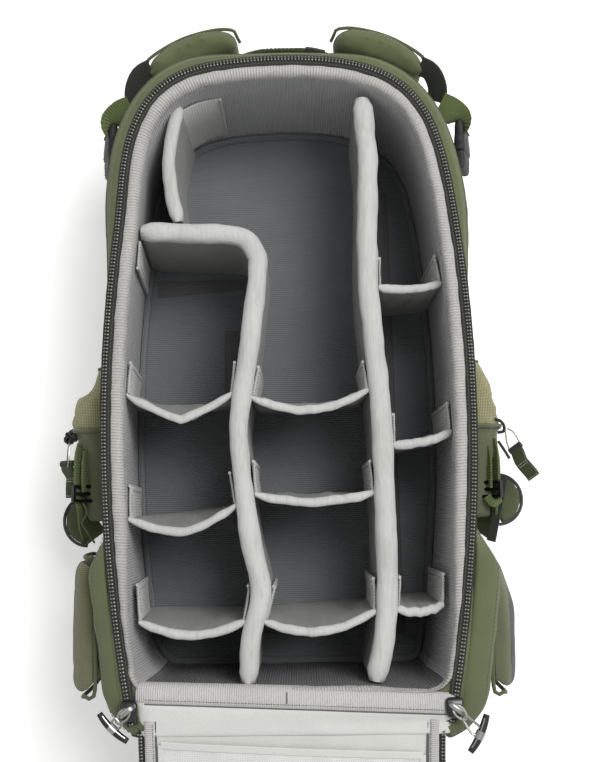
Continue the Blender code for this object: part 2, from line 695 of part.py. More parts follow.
# ---------------------------------------------------------------- zipper sliders and pulls
SLIDER_LIFT = CHAIN_TOP + 0.0017        # underside of the slider's top plate
EYE_Z = SLIDER_LIFT + 0.0038
PULL_OUT = Vector((0.80, -0.60, 0.0))   # the way the right-hand pull lies, out past the base corner
BAR_HALF_LENGTH = 0.019
BAR_RADIUS = 0.0028


def pull_direction(sign):
    return Vector((sign * PULL_OUT.x, PULL_OUT.y, 0.0))


def make_sliders():
    """Top plate over both chains, a flange round the body's chain, and a bail that the pull hangs in."""
    for name, sign in SIDES.items():
        bm = bmesh.new()
        x_mid = side_x(SLIDER_Y)
        y0 = SLIDER_Y - SLIDER_HALF_LENGTH
        y1 = SLIDER_Y + SLIDER_HALF_LENGTH
        plate = [(x_mid - 0.0070, y0), (x_mid + 0.0056, y0), (x_mid + 0.0060, y1), (x_mid - 0.0074, y1)]
        loft_into(bm, [[(sign * x, y, z) for x, y in plate] for z in (SLIDER_LIFT, SLIDER_LIFT + SLIDER_PLATE)])
        flange = [(x_mid + 0.0026, y0), (x_mid + 0.0050, y0), (x_mid + 0.0054, y1), (x_mid + 0.0030, y1)]
        loft_into(bm, [[(sign * x, y, z) for x, y in flange] for z in (CHAIN_BASE + 0.0002, SLIDER_LIFT + 0.0010)])
        eye = Vector((sign * x_mid, SLIDER_Y, EYE_Z))
        out = pull_direction(sign)
        up = Vector((0.0, 0.0, 1.0))
        foot, crest = up * -0.0022, up * 0.0020
        bail = [eye - out * 0.0054 + foot, eye - out * 0.0054 + crest * 0.5, eye - out * 0.0036 + crest,
                eye + out * 0.0036 + crest, eye + out * 0.0054 + crest * 0.5, eye + out * 0.0054 + foot]
        loft_into(bm, tube_loops(bail, BAIL_WIRE, 6))
        union_object("zipper_slider_" + name, bm, "steel", (sign * SIDE_CENTRE_X, WIDEST_Y, SLIDER_LIFT))


def make_pulls():
    """Steel link and bar that hang from each slider, lying out past the base corner."""
    bars = {"left": Vector((0.64, -0.77, 0.0)), "right": Vector((-0.34, -0.94, 0.0))}
    for name, sign in SIDES.items():
        eye = Vector((sign * side_x(SLIDER_Y), SLIDER_Y, EYE_Z))
        out = pull_direction(sign)
        side = Vector((-out.y, out.x, 0.0)) * 0.0030
        far = eye + out * 0.0180
        inside = far + out * 0.0020
        link = [inside + side * 1.3, far - out * 0.003 + side * 1.3, eye + side, eye - side,
                far - out * 0.003 - side * 1.3, inside - side * 1.3]
        reach = bars[name] * BAR_HALF_LENGTH
        grip = smooth_path([far + out * 0.0022 - reach, far + out * 0.0034, far + out * 0.0022 + reach], 3)
        bm = bmesh.new()
        loft_into(bm, tube_loops(link, BAIL_WIRE, 6))
        loft_into(bm, tube_loops(grip, BAR_RADIUS, 8))
        union_object("slider_pull_" + name, bm, "steel", eye)


# ---------------------------------------------------------------- back panel, modelled shut
def pinched(x, y, grow):
    """Narrows the panel next to its hinge, where it turns the base corners inside the body's outline."""
    reach = y - HINGE_Y
    t = min(max((reach - PANEL_SPREAD_FROM) / (PANEL_SPREAD_TO - PANEL_SPREAD_FROM), 0.0), 1.0)
    blend = t * t * (3.0 - 2.0 * t)
    near = PANEL_NEAR + grow - PANEL_CHAIN_OFF
    return near + (x - near) * blend


def panel_outline(off, start):
    """Closed outline of a panel layer that starts this far from the hinge."""
    half = [Vector((0.0, HINGE_Y + start))] + zipper_half(off, HINGE_Y + start, pinched)
    return mirrored(half)


def open_out(obj):
    """Turns a piece that was modelled shut to where it lies with the panel open."""
    axis = Vector((0.0, HINGE_Y, HINGE_Z))
    turn = Matrix.Translation(axis) @ Matrix.Rotation(PANEL_OPEN, 4, "X") @ Matrix.Translation(-axis)
    obj.matrix_world = turn @ obj.matrix_basis


def panel_plate(name, off, start, levels, slot):
    """Flat layer of the panel from levels of (z, extra growth)."""
    loops = [flat_loop(panel_outline(off + grow, start), z) for z, grow in levels]
    open_out(loft(name, loops, slot, (0.0, HINGE_Y, HINGE_Z)))


def panel_pad(name, rows, slot, corner=0.004):
    """Rounded pad on the panel from rows of (y, x0, x1, z0, z1)."""
    loops = [box_loop(x0, x1, z0, z1, y, corner) for y, x0, x1, z0, z1 in rows]
    open_out(loft(name, loops, slot))


# levels of the panel's layers from its inner face outwards
LINING = (0.1890, 0.1975)
SHEET = (0.1979, 0.1999)
SHELL = (0.2003, 0.2085)
PAD_BASE = 0.2089
PANEL_TAPE = (0.1915, 0.1923)
# mesh pocket and pads of the shut panel: y, lower and upper x, lower and upper z
MESH_ROWS = (
    (-0.2380, -0.098, 0.098, 0.1868, 0.1886),
    (-0.2220, -0.100, 0.100, 0.1850, 0.1886),
    (0.0200, -0.104, 0.104, 0.1850, 0.1886),
    (0.0300, -0.103, 0.103, 0.1868, 0.1886),
)
LUMBAR_ROWS = (
    (-0.222, -0.080, 0.080, PAD_BASE, 0.2160),
    (-0.210, -0.092, 0.092, PAD_BASE, 0.2260),
    (-0.165, -0.096, 0.096, PAD_BASE, 0.2290),
    (-0.120, -0.092, 0.092, PAD_BASE, 0.2260),
    (-0.108, -0.080, 0.080, PAD_BASE, 0.2160),
)
BACK_ROWS = (
    (-0.088, -0.086, 0.086, PAD_BASE, 0.2150),
    (-0.076, -0.094, 0.094, PAD_BASE, 0.2210),
    (0.040, -0.100, 0.100, PAD_BASE, 0.2225),
    (0.150, -0.094, 0.094, PAD_BASE, 0.2210),
    (0.162, -0.086, 0.086, PAD_BASE, 0.2150),
)
# shoulder strap from its root: y, middle x, half width, lower and upper z
STRAP_ROWS = (
    (0.2250, 0.048, 0.022, 0.2092, 0.2200),
    (0.2100, 0.048, 0.030, 0.2092, 0.2420),
    (0.1850, 0.050, 0.031, 0.2092, 0.2440),
    (0.1680, 0.053, 0.032, 0.2230, 0.2440),
    (0.1000, 0.064, 0.032, 0.2232, 0.2390),
    (0.0200, 0.074, 0.031, 0.2232, 0.2380),
    (-0.0600, 0.078, 0.028, 0.2232, 0.2370),
    (-0.0880, 0.078, 0.022, 0.2238, 0.2330),
)
STERNUM = ((0.040, 0.036, 0.2396), (0.094, 0.056, 0.2418))
HINGE_PIPING_HALF = 0.109
HINGE_PIPING_RADIUS = 0.0020


def make_panel():
    panel_plate("panel_lining", PANEL_EDGE_OFF, PANEL_START, ((LINING[0], -0.002), (LINING[0] + 0.002, 0.0),
                                                              (LINING[1], 0.0)), "panel_lining")
    panel_plate("frame_sheet", PANEL_EDGE_OFF - 0.006, 0.012, ((SHEET[0], 0.0), (SHEET[1], 0.0)), "stiffener")
    panel_plate("panel_shell", PANEL_EDGE_OFF, PANEL_START, ((SHELL[0], 0.0), (SHELL[1] - 0.003, 0.0),
                                                             (SHELL[1], -0.004)), "green_nylon")
    start = HINGE_Y + PANEL_CHAIN_START
    tape = u_strip(PANEL_EDGE_OFF + GAP, PANEL_CHAIN_OFF + CHAIN_HALF, *PANEL_TAPE, start, pinched)
    open_out(loft("zipper_tape_panel", tape, "zipper_tape"))
    chain = u_strip(PANEL_CHAIN_OFF - CHAIN_HALF, PANEL_CHAIN_OFF + CHAIN_HALF, CHAIN_BASE, CHAIN_TOP + 0.0001,
                    start, pinched)
    open_out(loft("zipper_chain_panel", chain, "zipper_teeth"))
    panel_pad("panel_mesh_pocket", MESH_ROWS, "panel_mesh", 0.0008)
    tube("hinge_piping", [(x, HINGE_Y, HINGE_Z) for x in (-HINGE_PIPING_HALF, 0.0, HINGE_PIPING_HALF)],
         HINGE_PIPING_RADIUS, "binding_grey")


def make_harness():
    panel_pad("lumbar_pad", LUMBAR_ROWS, "dark_mesh")
    panel_pad("back_pad", BACK_ROWS, "dark_mesh")
    for name, sign in SIDES.items():
        rows = []
        for y, x, half, low_z, high_z in STRAP_ROWS:
            low, high = sorted((sign * (x - half), sign * (x + half)))
            rows.append((y, low, high, low_z, high_z))
        panel_pad("shoulder_strap_" + name, rows, "dark_mesh")
        low, high = STERNUM
        x0, x1 = sorted((sign * low[0], sign * high[0]))
        bm = bmesh.new()
        block_into(bm, (x0, low[1], low[2]), (x1, high[1], high[2]), 0.0006)
        open_out(add_object("sternum_strap_" + name, bm, "green_webbing"))


# ---------------------------------------------------------------- front pocket closure
FRONT_ZIP_Y = -0.2404
FRONT_ZIP_Z = 0.016
FRONT_ZIP_HALF = 0.095
FRONT_ZIP_RADIUS = 0.0014
FRONT_SLIDER = ((-0.092, -0.2462, 0.0115), (-0.078, -0.2424, 0.0205))


def make_front_zip():
    chain = [(x, FRONT_ZIP_Y, FRONT_ZIP_Z) for x in (-FRONT_ZIP_HALF, 0.0, FRONT_ZIP_HALF)]
    tube("front_zip_chain", chain, FRONT_ZIP_RADIUS, "zipper_teeth", 6)
    block("front_zip_slider", *FRONT_SLIDER, "steel", 0.0008)


def main():
    clear_scene()
    make_body_shell()
    make_base_boot()
    make_liner()
    make_body_zipper()
    make_long_dividers()
    make_short_dividers()
    make_head_end()
    make_side_buckles()
    make_side_pockets()
    make_side_lashing()
    make_hooks()
    make_side_flaps()
    make_hip_wings()
    make_sliders()
    make_pulls()
    make_panel()
    make_harness()
    make_front_zip()


main()
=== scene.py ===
"""Looks of the camera backpack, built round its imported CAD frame: fabric, foam, webbing and hardware."""

import math

import bmesh
import bpy
import numpy as np
from mathutils import Matrix, Vector, noise


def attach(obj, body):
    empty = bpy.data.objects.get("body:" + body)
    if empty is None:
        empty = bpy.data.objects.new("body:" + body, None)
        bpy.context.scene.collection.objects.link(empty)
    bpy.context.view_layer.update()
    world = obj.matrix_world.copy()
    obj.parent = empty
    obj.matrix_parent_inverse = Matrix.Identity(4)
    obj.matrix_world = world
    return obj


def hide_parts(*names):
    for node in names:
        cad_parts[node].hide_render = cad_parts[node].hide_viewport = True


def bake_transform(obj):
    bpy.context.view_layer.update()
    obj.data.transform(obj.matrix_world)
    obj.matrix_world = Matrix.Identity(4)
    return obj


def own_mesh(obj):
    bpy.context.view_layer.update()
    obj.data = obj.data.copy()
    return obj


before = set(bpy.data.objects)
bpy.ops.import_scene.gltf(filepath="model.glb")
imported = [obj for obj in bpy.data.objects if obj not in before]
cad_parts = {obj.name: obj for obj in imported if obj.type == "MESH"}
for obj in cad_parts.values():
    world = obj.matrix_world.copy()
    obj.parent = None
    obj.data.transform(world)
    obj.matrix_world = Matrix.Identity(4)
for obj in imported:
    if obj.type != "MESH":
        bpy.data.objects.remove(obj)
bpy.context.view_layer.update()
UP = Vector((0.0, 0.0, 1.0))
SIDES = {"left": -1.0, "right": 1.0}
BODY = "pack_body"

# ---------------------------------------------------------------- dimensions shared with the CAD part
HALF_WIDTH, SIDE_RADIUS, WIDEST_Y, SHOULDER_Y, HEAD_Y = 0.151, 1.250, -0.035, 0.150, 0.2665
SIDE_CENTRE_X = HALF_WIDTH - SIDE_RADIUS
FLOOR_TOP, LINER_TOP = 0.050, 0.180
LINER_BASE_Y, LINER_BACK_Y, GUSSET_FACE_Y, EAR_Y = -0.2555, -0.2600, -0.2683, -0.2870
NOTCH_X, EAR_X = 0.1135, 0.1165
OPENING_OFF, LINER_OFF = -0.0148, -0.0045
HINGE_Y, HINGE_Z = -0.270, 0.191
PANEL_OPEN = math.radians(197.2)
PANEL_NEAR, PANEL_SPREAD_FROM, PANEL_SPREAD_TO = 0.120, 0.040, 0.130
PANEL_CHAIN_OFF, PANEL_CHAIN_START, PANEL_START = -0.0045, 0.020, 0.006
LINING_START = 0.003
DIVIDER_TOP, SHORT_TOP, DIVIDER_FOOT = 0.177, 0.170, 0.0504
LONG_HALF, CENTRE_HALF, SHORT_HALF = 0.0075, 0.0080, 0.0033
CORNER_HALF, CORNER_TOP = 0.0052, 0.168
SHORT_STEPS = 26
LEFT_RUN = ((-0.0262, 0.1000), (-0.0252, 0.0900), (-0.0312, 0.0340), (-0.0400, -0.0250), (-0.0420, -0.0500),
            (-0.0397, -0.0830), (-0.0326, -0.1400), (-0.0240, -0.1800), (-0.0325, -0.2195),
            (-0.0348, -0.2545))
CENTRE_RUN = ((0.0685, 0.2050), (0.0699, 0.1888), (0.0691, 0.1448), (0.0678, 0.1013), (0.0691, 0.0583),
              (0.0746, -0.0010), (0.0777, -0.0512), (0.0785, -0.1086), (0.0795, -0.1572), (0.0788, -0.1890),
              (0.0757, -0.2207), (0.0685, -0.2535))


# ---------------------------------------------------------------- outlines
def smooth_step(x, low, high):
    t = min(max((x - low) / (high - low), 0.0), 1.0)
    return t * t * (3.0 - 2.0 * t)


def side_x(y, grow=0.0):
    """Half width at y of the zipper line, grown outwards."""
    return SIDE_CENTRE_X + math.sqrt((SIDE_RADIUS + grow) ** 2 - (y - WIDEST_Y) ** 2)


def crown(grow, count):
    """Head curve of the zipper line, from the end of the side arc to the middle."""
    lean = -(SHOULDER_Y - WIDEST_Y) / SIDE_RADIUS
    start = Vector((side_x(SHOULDER_Y), SHOULDER_Y))
    knots = [start, start + Vector((lean, 1.0)) * 0.084, Vector((0.100, HEAD_Y)), Vector((0.0, HEAD_Y))]
    points = []
    for k in range(1, count + 1):
        t = k / count
        s = 1.0 - t
        point = knots[0] * s ** 3 + knots[1] * 3 * s * s * t + knots[2] * 3 * s * t * t + knots[3] * t ** 3
        slope = (knots[1] - knots[0]) * s * s + (knots[2] - knots[1]) * 2 * s * t
        slope += (knots[3] - knots[2]) * t * t
        points.append(point + Vector((slope.y, -slope.x)).normalized() * grow)
    points[-1].x = 0.0
    return points


def bulge(y, waist):
    """Share of the outward growth at y: the waist value along the middle, all of it at the corners."""
    head = min(max((y - 0.040) / 0.110, 0.0), 1.0)
    base = min(max((y + 0.130) / -0.095, 0.0), 1.0)
    return waist + (1.0 - waist) * max(head, base)


def left_half(half):
    """The half mirrored to the left side, where the head corner is a little fuller."""
    out = []
    for p in half[-2::-1]:
        t = smooth_step(p.y, 0.110, 0.205) * smooth_step(p.x, 0.030, 0.105)
        out.append(Vector((-p.x - 0.0046 * t, p.y + 0.0032 * t)))
    return out


SIDE_STEPS, HEAD_STEPS = 44, 30


def outline(grow, base_y, ear_y=None, corner=0.020, waist=1.0, base=14, swell=0.0):
    """Closed outline of the body, offset from the zipper line, from the middle of the base. swell widens both
    head corners."""
    notched = ear_y is not None
    turn_y = (ear_y if notched else base_y) + corner
    bend_x = side_x(turn_y, grow) - corner
    first = math.asin(max(0.0, EAR_X - bend_x) / corner) if notched else 0.0
    end_x = NOTCH_X if notched else bend_x
    half = [Vector((end_x * k / base, base_y)) for k in range(base + (1 if notched else 0))]
    for k in range(11):
        angle = first + (math.pi / 2 - first) * k / 10
        half.append(Vector((bend_x + corner * math.sin(angle), turn_y - corner * math.cos(angle))))
    for k in range(1, SIDE_STEPS + 1):
        y = turn_y + (SHOULDER_Y - turn_y) * k / SIDE_STEPS
        out = grow * bulge(y, waist) + swell * smooth_step(y, 0.060, SHOULDER_Y)
        half.append(Vector((side_x(y, out), y)))
    for p, q in zip(crown(grow, HEAD_STEPS), crown(grow + swell, HEAD_STEPS)):
        half.append(p.lerp(q, smooth_step(p.x, 0.020, 0.085)))
    return half + left_half(half)[:-1]


def zipper_line(grow, start_y, pinch=None):
    """Open line round the head from the right base end to the left one."""
    count = int((SHOULDER_Y - start_y) / 0.006)
    half = []
    for k in range(count + 1):
        y = start_y + (SHOULDER_Y - start_y) * k / count
        x = side_x(y, grow)
        half.append(Vector((pinch(x, y, grow) if pinch else x, y)))
    half += crown(grow, 40)
    return half + left_half(half)


def pinched(x, y, grow):
    """Half width of the back panel, which narrows to the hinge."""
    near = PANEL_NEAR + grow - PANEL_CHAIN_OFF
    return near + (x - near) * smooth_step(y - HINGE_Y, PANEL_SPREAD_FROM, PANEL_SPREAD_TO)


def inner_x(y):
    """Half width of the opening at y."""
    return side_x(y, OPENING_OFF)


def inner_head_y(x):
    """y of the opening's head edge at x, for x from the middle to the right."""
    arc = crown(OPENING_OFF, 40)
    for a, b in zip(arc, arc[1:]):
        if b.x <= x <= a.x:
            return b.y + (a.y - b.y) * (x - b.x) / (a.x - b.x)
    return arc[-1].y


def run_x(run, y):
    """x at y of a divider's run of (x, y) points."""
    for a, b in zip(run, run[1:]):
        if b[1] <= y <= a[1]:
            return a[0] + (b[0] - a[0]) * (a[1] - y) / (a[1] - b[1])
    return run[-1][0] if y < run[-1][1] else run[0][0]


def smooth_path(points, steps):
    """Catmull-Rom curve through the points, of any number of axes."""
    knots = [Vector(p) for p in points]
    knots = [2 * knots[0] - knots[1]] + knots + [2 * knots[-1] - knots[-2]]
    out = []
    for i in range(1, len(knots) - 2):
        a, b, c, d = knots[i - 1:i + 3]
        for k in range(steps):
            t = k / steps
            out.append(0.5 * (2 * b + (c - a) * t + (2 * a - 5 * b + 4 * c - d) * t ** 2
                              + (3 * b - a - 3 * c + d) * t ** 3))
    return out + [knots[-2].copy()]


def even(points, step, closed=False):
    """The same line with points a fixed step apart."""
    line = [Vector(p) for p in points]
    if closed:
        line.append(line[0].copy())
    lengths = [0.0]
    for a, b in zip(line, line[1:]):
        lengths.append(lengths[-1] + (b - a).length)
    count = max(2, round(lengths[-1] / step))
    out, i = [], 0
    for k in range(count + (0 if closed else 1)):
        want = lengths[-1] * k / count
        while i < len(line) - 2 and lengths[i + 1] < want:
            i += 1
        span = max(lengths[i + 1] - lengths[i], 1e-9)
        out.append(line[i].lerp(line[i + 1], (want - lengths[i]) / span))
    return out


def level(points, z):
    """Flat points raised to height z."""
    return [Vector((p.x, p.y, z)) for p in points]


def mirrored(points, sign):
    """Points given for the right side, on the side that sign says."""
    return [Vector((sign * x, y, z)) for x, y, z in points]


TURN = (Matrix.Translation((0.0, HINGE_Y, HINGE_Z)) @ Matrix.Rotation(PANEL_OPEN, 4, "X")
        @ Matrix.Translation((0.0, -HINGE_Y, -HINGE_Z)))
PANEL_X, PANEL_Y = TURN.to_3x3() @ Vector((1, 0, 0)), TURN.to_3x3() @ Vector((0, 1, 0))
PANEL_OUT = TURN.to_3x3() @ -UP


def opened(points):
    """Points given with the back panel shut, moved to where it lies open."""
    return [TURN @ Vector(p) for p in points]


# ---------------------------------------------------------------- meshes
def put(name, verts, faces, mat, body=BODY, replaces=(), slot=None, loop_uvs=None, indices=None, sharp=40.0):
    """Adds a piece. loop_uvs are metres on the cloth; without them each face is mapped from its main side."""
    mesh = bpy.data.meshes.new(name)
    mesh.from_pydata([tuple(v) for v in verts], [], faces)
    mats = mat if isinstance(mat, (list, tuple)) else [mat]
    for m in mats:
        mesh.materials.append(m)
    if indices is not None:
        mesh.polygons.foreach_set("material_index", indices)
    mesh.shade_smooth()
    layer = mesh.uv_layers.new(name="cloth")
    if loop_uvs is not None:
        layer.data.foreach_set("uv", np.array(loop_uvs, np.float32).ravel())
    obj = bpy.data.objects.new(name, mesh)
    bpy.context.scene.collection.objects.link(obj)
    bm = bmesh.new()
    bm.from_mesh(mesh)
    bmesh.ops.recalc_face_normals(bm, faces=bm.faces)
    bm.to_mesh(mesh)
    bm.free()
    if loop_uvs is None:
        flat_map(obj)
    if sharp:
        mesh.set_sharp_from_angle(angle=math.radians(sharp))
    claim(obj, body, replaces)
    return obj


def claim(obj, body, replaces):
    """Says which body a piece rides on, which CAD nodes it stands for."""
    if body:
        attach(obj, body)
    if replaces:
        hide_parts(*([replaces] if isinstance(replaces, str) else replaces))


def flat_map(obj):
    """Cloth coordinates in metres, taken from the two axes that each face looks away from least."""
    mesh = obj.data
    layer = mesh.uv_layers.get("cloth") or mesh.uv_layers.new(name="cloth")
    co = np.empty(len(mesh.vertices) * 3, np.float32)
    mesh.vertices.foreach_get("co", co)
    co = co.reshape(-1, 3)
    uvs = np.empty((len(mesh.loops), 2), np.float32)
    for poly in mesh.polygons:
        n = poly.normal
        axis = max(range(3), key=lambda i: abs(n[i]))
        a, b = ((1, 2), (0, 2), (0, 1))[axis]
        for li in poly.loop_indices:
            v = mesh.loops[li].vertex_index
            uvs[li] = (co[v][a], co[v][b])
    layer.data.foreach_set("uv", uvs.ravel())


def grid(name, rows, mat, wrap_rows=False, wrap_cols=True, caps=True, band=None, **kw):
    """Skin over rows of points. Cloth u runs from row to row and v along it. band(i, j) picks a material."""
    n, m = len(rows), len(rows[0])
    verts = [p for row in rows for p in row]
    mid = m // 4
    us = [0.0]
    for i in range(n):
        us.append(us[-1] + (Vector(rows[(i + 1) % n][mid]) - Vector(rows[i][mid])).length)
    vs = [0.0]
    mid_row = rows[n // 2]
    for j in range(m):
        vs.append(vs[-1] + (Vector(mid_row[(j + 1) % m]) - Vector(mid_row[j])).length)
    faces, uvs, index = [], [], []
    for i in range(n if wrap_rows else n - 1):
        for j in range(m if wrap_cols else m - 1):
            i2, j2 = (i + 1) % n, (j + 1) % m
            faces.append((i * m + j, i2 * m + j, i2 * m + j2, i * m + j2))
            uvs += [(us[i], vs[j]), (us[i + 1], vs[j]), (us[i + 1], vs[j + 1]), (us[i], vs[j + 1])]
            index.append(band(i, j) if band else 0)
    if caps and not wrap_rows and wrap_cols:
        for i in (0, n - 1):
            faces.append(tuple(i * m + j for j in range(m)))
            uvs += [(us[i], vs[j]) for j in range(m)]
            index.append(band(i, 0) if band else 0)
    return put(name, verts, faces, mat, loop_uvs=uvs, indices=index, **kw)


def normals_of(line, closed=False):
    """Unit normals in the floor plane, to the right of the way the line runs."""
    out = []
    n = len(line)
    for i in range(n):
        a = line[(i - 1) % n] if closed or i > 0 else line[i]
        b = line[(i + 1) % n] if closed or i < n - 1 else line[i]
        d = b - a
        out.append(Vector((d.y, -d.x)).normalized())
    return out


def swept(name, line, profile, mat, closed=False, turn=False, **kw):
    """Sweeps an (offset, z) profile along a line in the floor plane. It may be a function of the station."""
    normals = normals_of(line, closed)
    rows = []
    for i, (p, n) in enumerate(zip(line, normals)):
        shape = profile(i) if callable(profile) else profile
        row = [Vector((p.x + n.x * off, p.y + n.y * off, z)) for off, z in shape]
        rows.append(opened(row) if turn else row)
    return grid(name, rows, mat, wrap_rows=closed, **kw)


def ring(points, radius, sides=8, closed=False, squash=1.0, face=None):
    """Rows of a tube round a line. With face, the tube is flattened along that direction."""
    rows = []
    n = len(points)
    across = None
    for i, p in enumerate(points):
        a = points[(i - 1) % n] if closed or i > 0 else points[i]
        b = points[(i + 1) % n] if closed or i < n - 1 else points[i]
        along = (b - a).normalized()
        if face is not None:
            across = (face - along * face.dot(along)).normalized()
        elif across is None:
            across = along.orthogonal().normalized()
        across = (across - along * across.dot(along)).normalized()
        other = along.cross(across)
        r = radius(i) if callable(radius) else radius
        rows.append([p + across * math.cos(t) * r * squash + other * math.sin(t) * r
                     for t in [2 * math.pi * k / sides for k in range(sides)]])
    return rows


def tube(name, points, radius, mat, sides=8, closed=False, squash=1.0, face=None, **kw):
    points = [Vector(p) for p in points]
    return grid(name, ring(points, radius, sides, closed, squash, face), mat, wrap_rows=closed, **kw)


def webbing(name, points, wide, width, thick, mat, **kw):
    """Flat strap with rounded edges. Its width lies along wide: one direction, or one for each point."""
    points = [Vector(p) for p in points]
    wides = wide if isinstance(wide, list) else [Vector(wide)] * len(points)
    rows = []
    for i, p in enumerate(points):
        along = (points[min(i + 1, len(points) - 1)] - points[max(i - 1, 0)]).normalized()
        side = (wides[i] - along * wides[i].dot(along)).normalized()
        up = along.cross(side).normalized()
        w, t = width / 2, thick / 2
        shape = [(-w, 0.0), (-w + t * 0.6, -t), (-w * 0.5, -t * 1.08), (0.0, -t), (w * 0.5, -t * 1.08),
                 (w - t * 0.6, -t), (w, 0.0), (w - t * 0.6, t), (w * 0.5, t * 1.08), (0.0, t),
                 (-w * 0.5, t * 1.08), (-w + t * 0.6, t)]
        rows.append([p + side * a + up * b for a, b in shape])
    return grid(name, rows, mat, **kw)


def gather(name, parts, mat, **kw):
    """One piece from many small (verts, faces) parts."""
    verts, faces = [], []
    for v, f in parts:
        base = len(verts)
        verts += v
        faces += [tuple(base + k for k in face) for face in f]
    return put(name, verts, faces, mat, **kw)


def bead(centre, along, up, length, width, height):
    """Small rounded stitch or tooth: an eight-sided spindle."""
    along = along.normalized()
    side = up.cross(along).normalized()
    up = along.cross(side).normalized()
    verts = [centre - along * length / 2, centre + along * length / 2]
    for at, size in ((-0.32, 0.82), (0.32, 0.82)):
        for k in range(6):
            t = 2 * math.pi * k / 6
            verts.append(centre + along * length * at + side * math.cos(t) * width / 2 * size
                         + up * math.sin(t) * height / 2 * size)
    faces = [(0, 2 + (k + 1) % 6, 2 + k) for k in range(6)]
    faces += [(1, 8 + k, 8 + (k + 1) % 6) for k in range(6)]
    faces += [(2 + k, 2 + (k + 1) % 6, 8 + (k + 1) % 6, 8 + k) for k in range(6)]
    return verts, faces


def stitches(name, lines, ups, mat, pitch=0.0034, length=0.0025, width=0.0006, body=BODY):
    """Rows of thread stitches along lines of points. ups gives the way out of the cloth for each line."""
    parts = []
    for line, up in zip(lines, ups):
        line = even(line, pitch)
        for a, b in zip(line, line[1:]):
            parts.append(bead((a + b) / 2, b - a, Vector(up), length, width, width))
    return gather(name, parts, mat, body=body)


def wrinkle(obj, amount, size, seed=0.0, weight=None):
    """Moves points along their normals with smooth noise. weight(co) scales it."""
    mesh = obj.data
    moves = []
    for v in mesh.vertices:
        w = weight(v.co) if weight else 1.0
        if w <= 0.0:
            moves.append(None)
            continue
        p = v.co / size + Vector((seed, seed * 1.7, seed * 0.3))
        d = noise.noise(p) + 0.45 * noise.noise(p * 2.3)
        moves.append(v.normal * d * amount * w)
    for v, d in zip(mesh.vertices, moves):
        if d is not None:
            v.co += d
    mesh.update()
    return obj


def subdivide(obj):
    mod = obj.modifiers.new("smooth", "SUBSURF")
    mod.levels = mod.render_levels = 1
    return obj


def baked(obj):
    """Applies every modifier."""
    graph = bpy.context.evaluated_depsgraph_get()
    mesh = bpy.data.meshes.new_from_object(obj.evaluated_get(graph))
    obj.modifiers.clear()
    obj.data = mesh
    return obj


CLOTH_FRAMES, SMOOTHINGS = 20, 2


def swollen(name, node, mat, voxel=0.0045, cap=0.006, pressure=4.0, shrink=0.0015, body=BODY,
            wrinkles=0.0007, size=0.020):
    """Padded piece from a CAD solid: shrunk, remeshed, blown up as cloth, then held near its shape."""
    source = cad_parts[node]
    mesh = source.data.copy()
    obj = bpy.data.objects.new(name, mesh)
    bpy.context.scene.collection.objects.link(obj)
    remesh = obj.modifiers.new("remesh", "REMESH")
    remesh.mode = "VOXEL"
    remesh.voxel_size = voxel
    baked(obj)
    mesh = obj.data
    for v, n in zip(mesh.vertices, [v.normal.copy() for v in mesh.vertices]):
        v.co -= n * shrink
    rest = [v.co.copy() for v in mesh.vertices]
    cloth = obj.modifiers.new("cloth", "CLOTH")
    cloth.settings.quality = 4
    cloth.settings.mass = 0.3
    cloth.settings.tension_stiffness = 18.0
    cloth.settings.compression_stiffness = 18.0
    cloth.settings.bending_stiffness = 0.8
    cloth.settings.use_pressure = True
    cloth.settings.uniform_pressure_force = pressure
    cloth.settings.effector_weights.gravity = 0.0
    cloth.collision_settings.use_self_collision = False
    cloth.point_cache.frame_start = 1
    cloth.point_cache.frame_end = CLOTH_FRAMES
    for f in range(1, CLOTH_FRAMES + 1):
        bpy.context.scene.frame_set(f)
    baked(obj)
    bpy.context.scene.frame_set(1)
    mesh = obj.data
    for v, r in zip(mesh.vertices, rest):
        move = v.co - r
        if move.length > cap:
            v.co = r + move.normalized() * cap
    bm = bmesh.new()
    bm.from_mesh(mesh)
    for _ in range(SMOOTHINGS):
        bmesh.ops.smooth_vert(bm, verts=bm.verts, factor=0.5, use_axis_x=True, use_axis_y=True,
                              use_axis_z=True)
    bm.to_mesh(mesh)
    bm.free()
    mesh.update()
    wrinkle(obj, wrinkles, size, seed=len(name) * 0.37)
    subdivide(obj)
    baked(obj)
    obj.data.materials.clear()
    obj.data.materials.append(mat)
    obj.data.shade_smooth()
    flat_map(obj)
    claim(obj, body, node)
    return obj


# ---------------------------------------------------------------- materials
def srgb(r, g, b):
    return tuple((c / 255 / 12.92) if c / 255 <= 0.04045 else ((c / 255 + 0.055) / 1.055) ** 2.4
                 for c in (r, g, b))


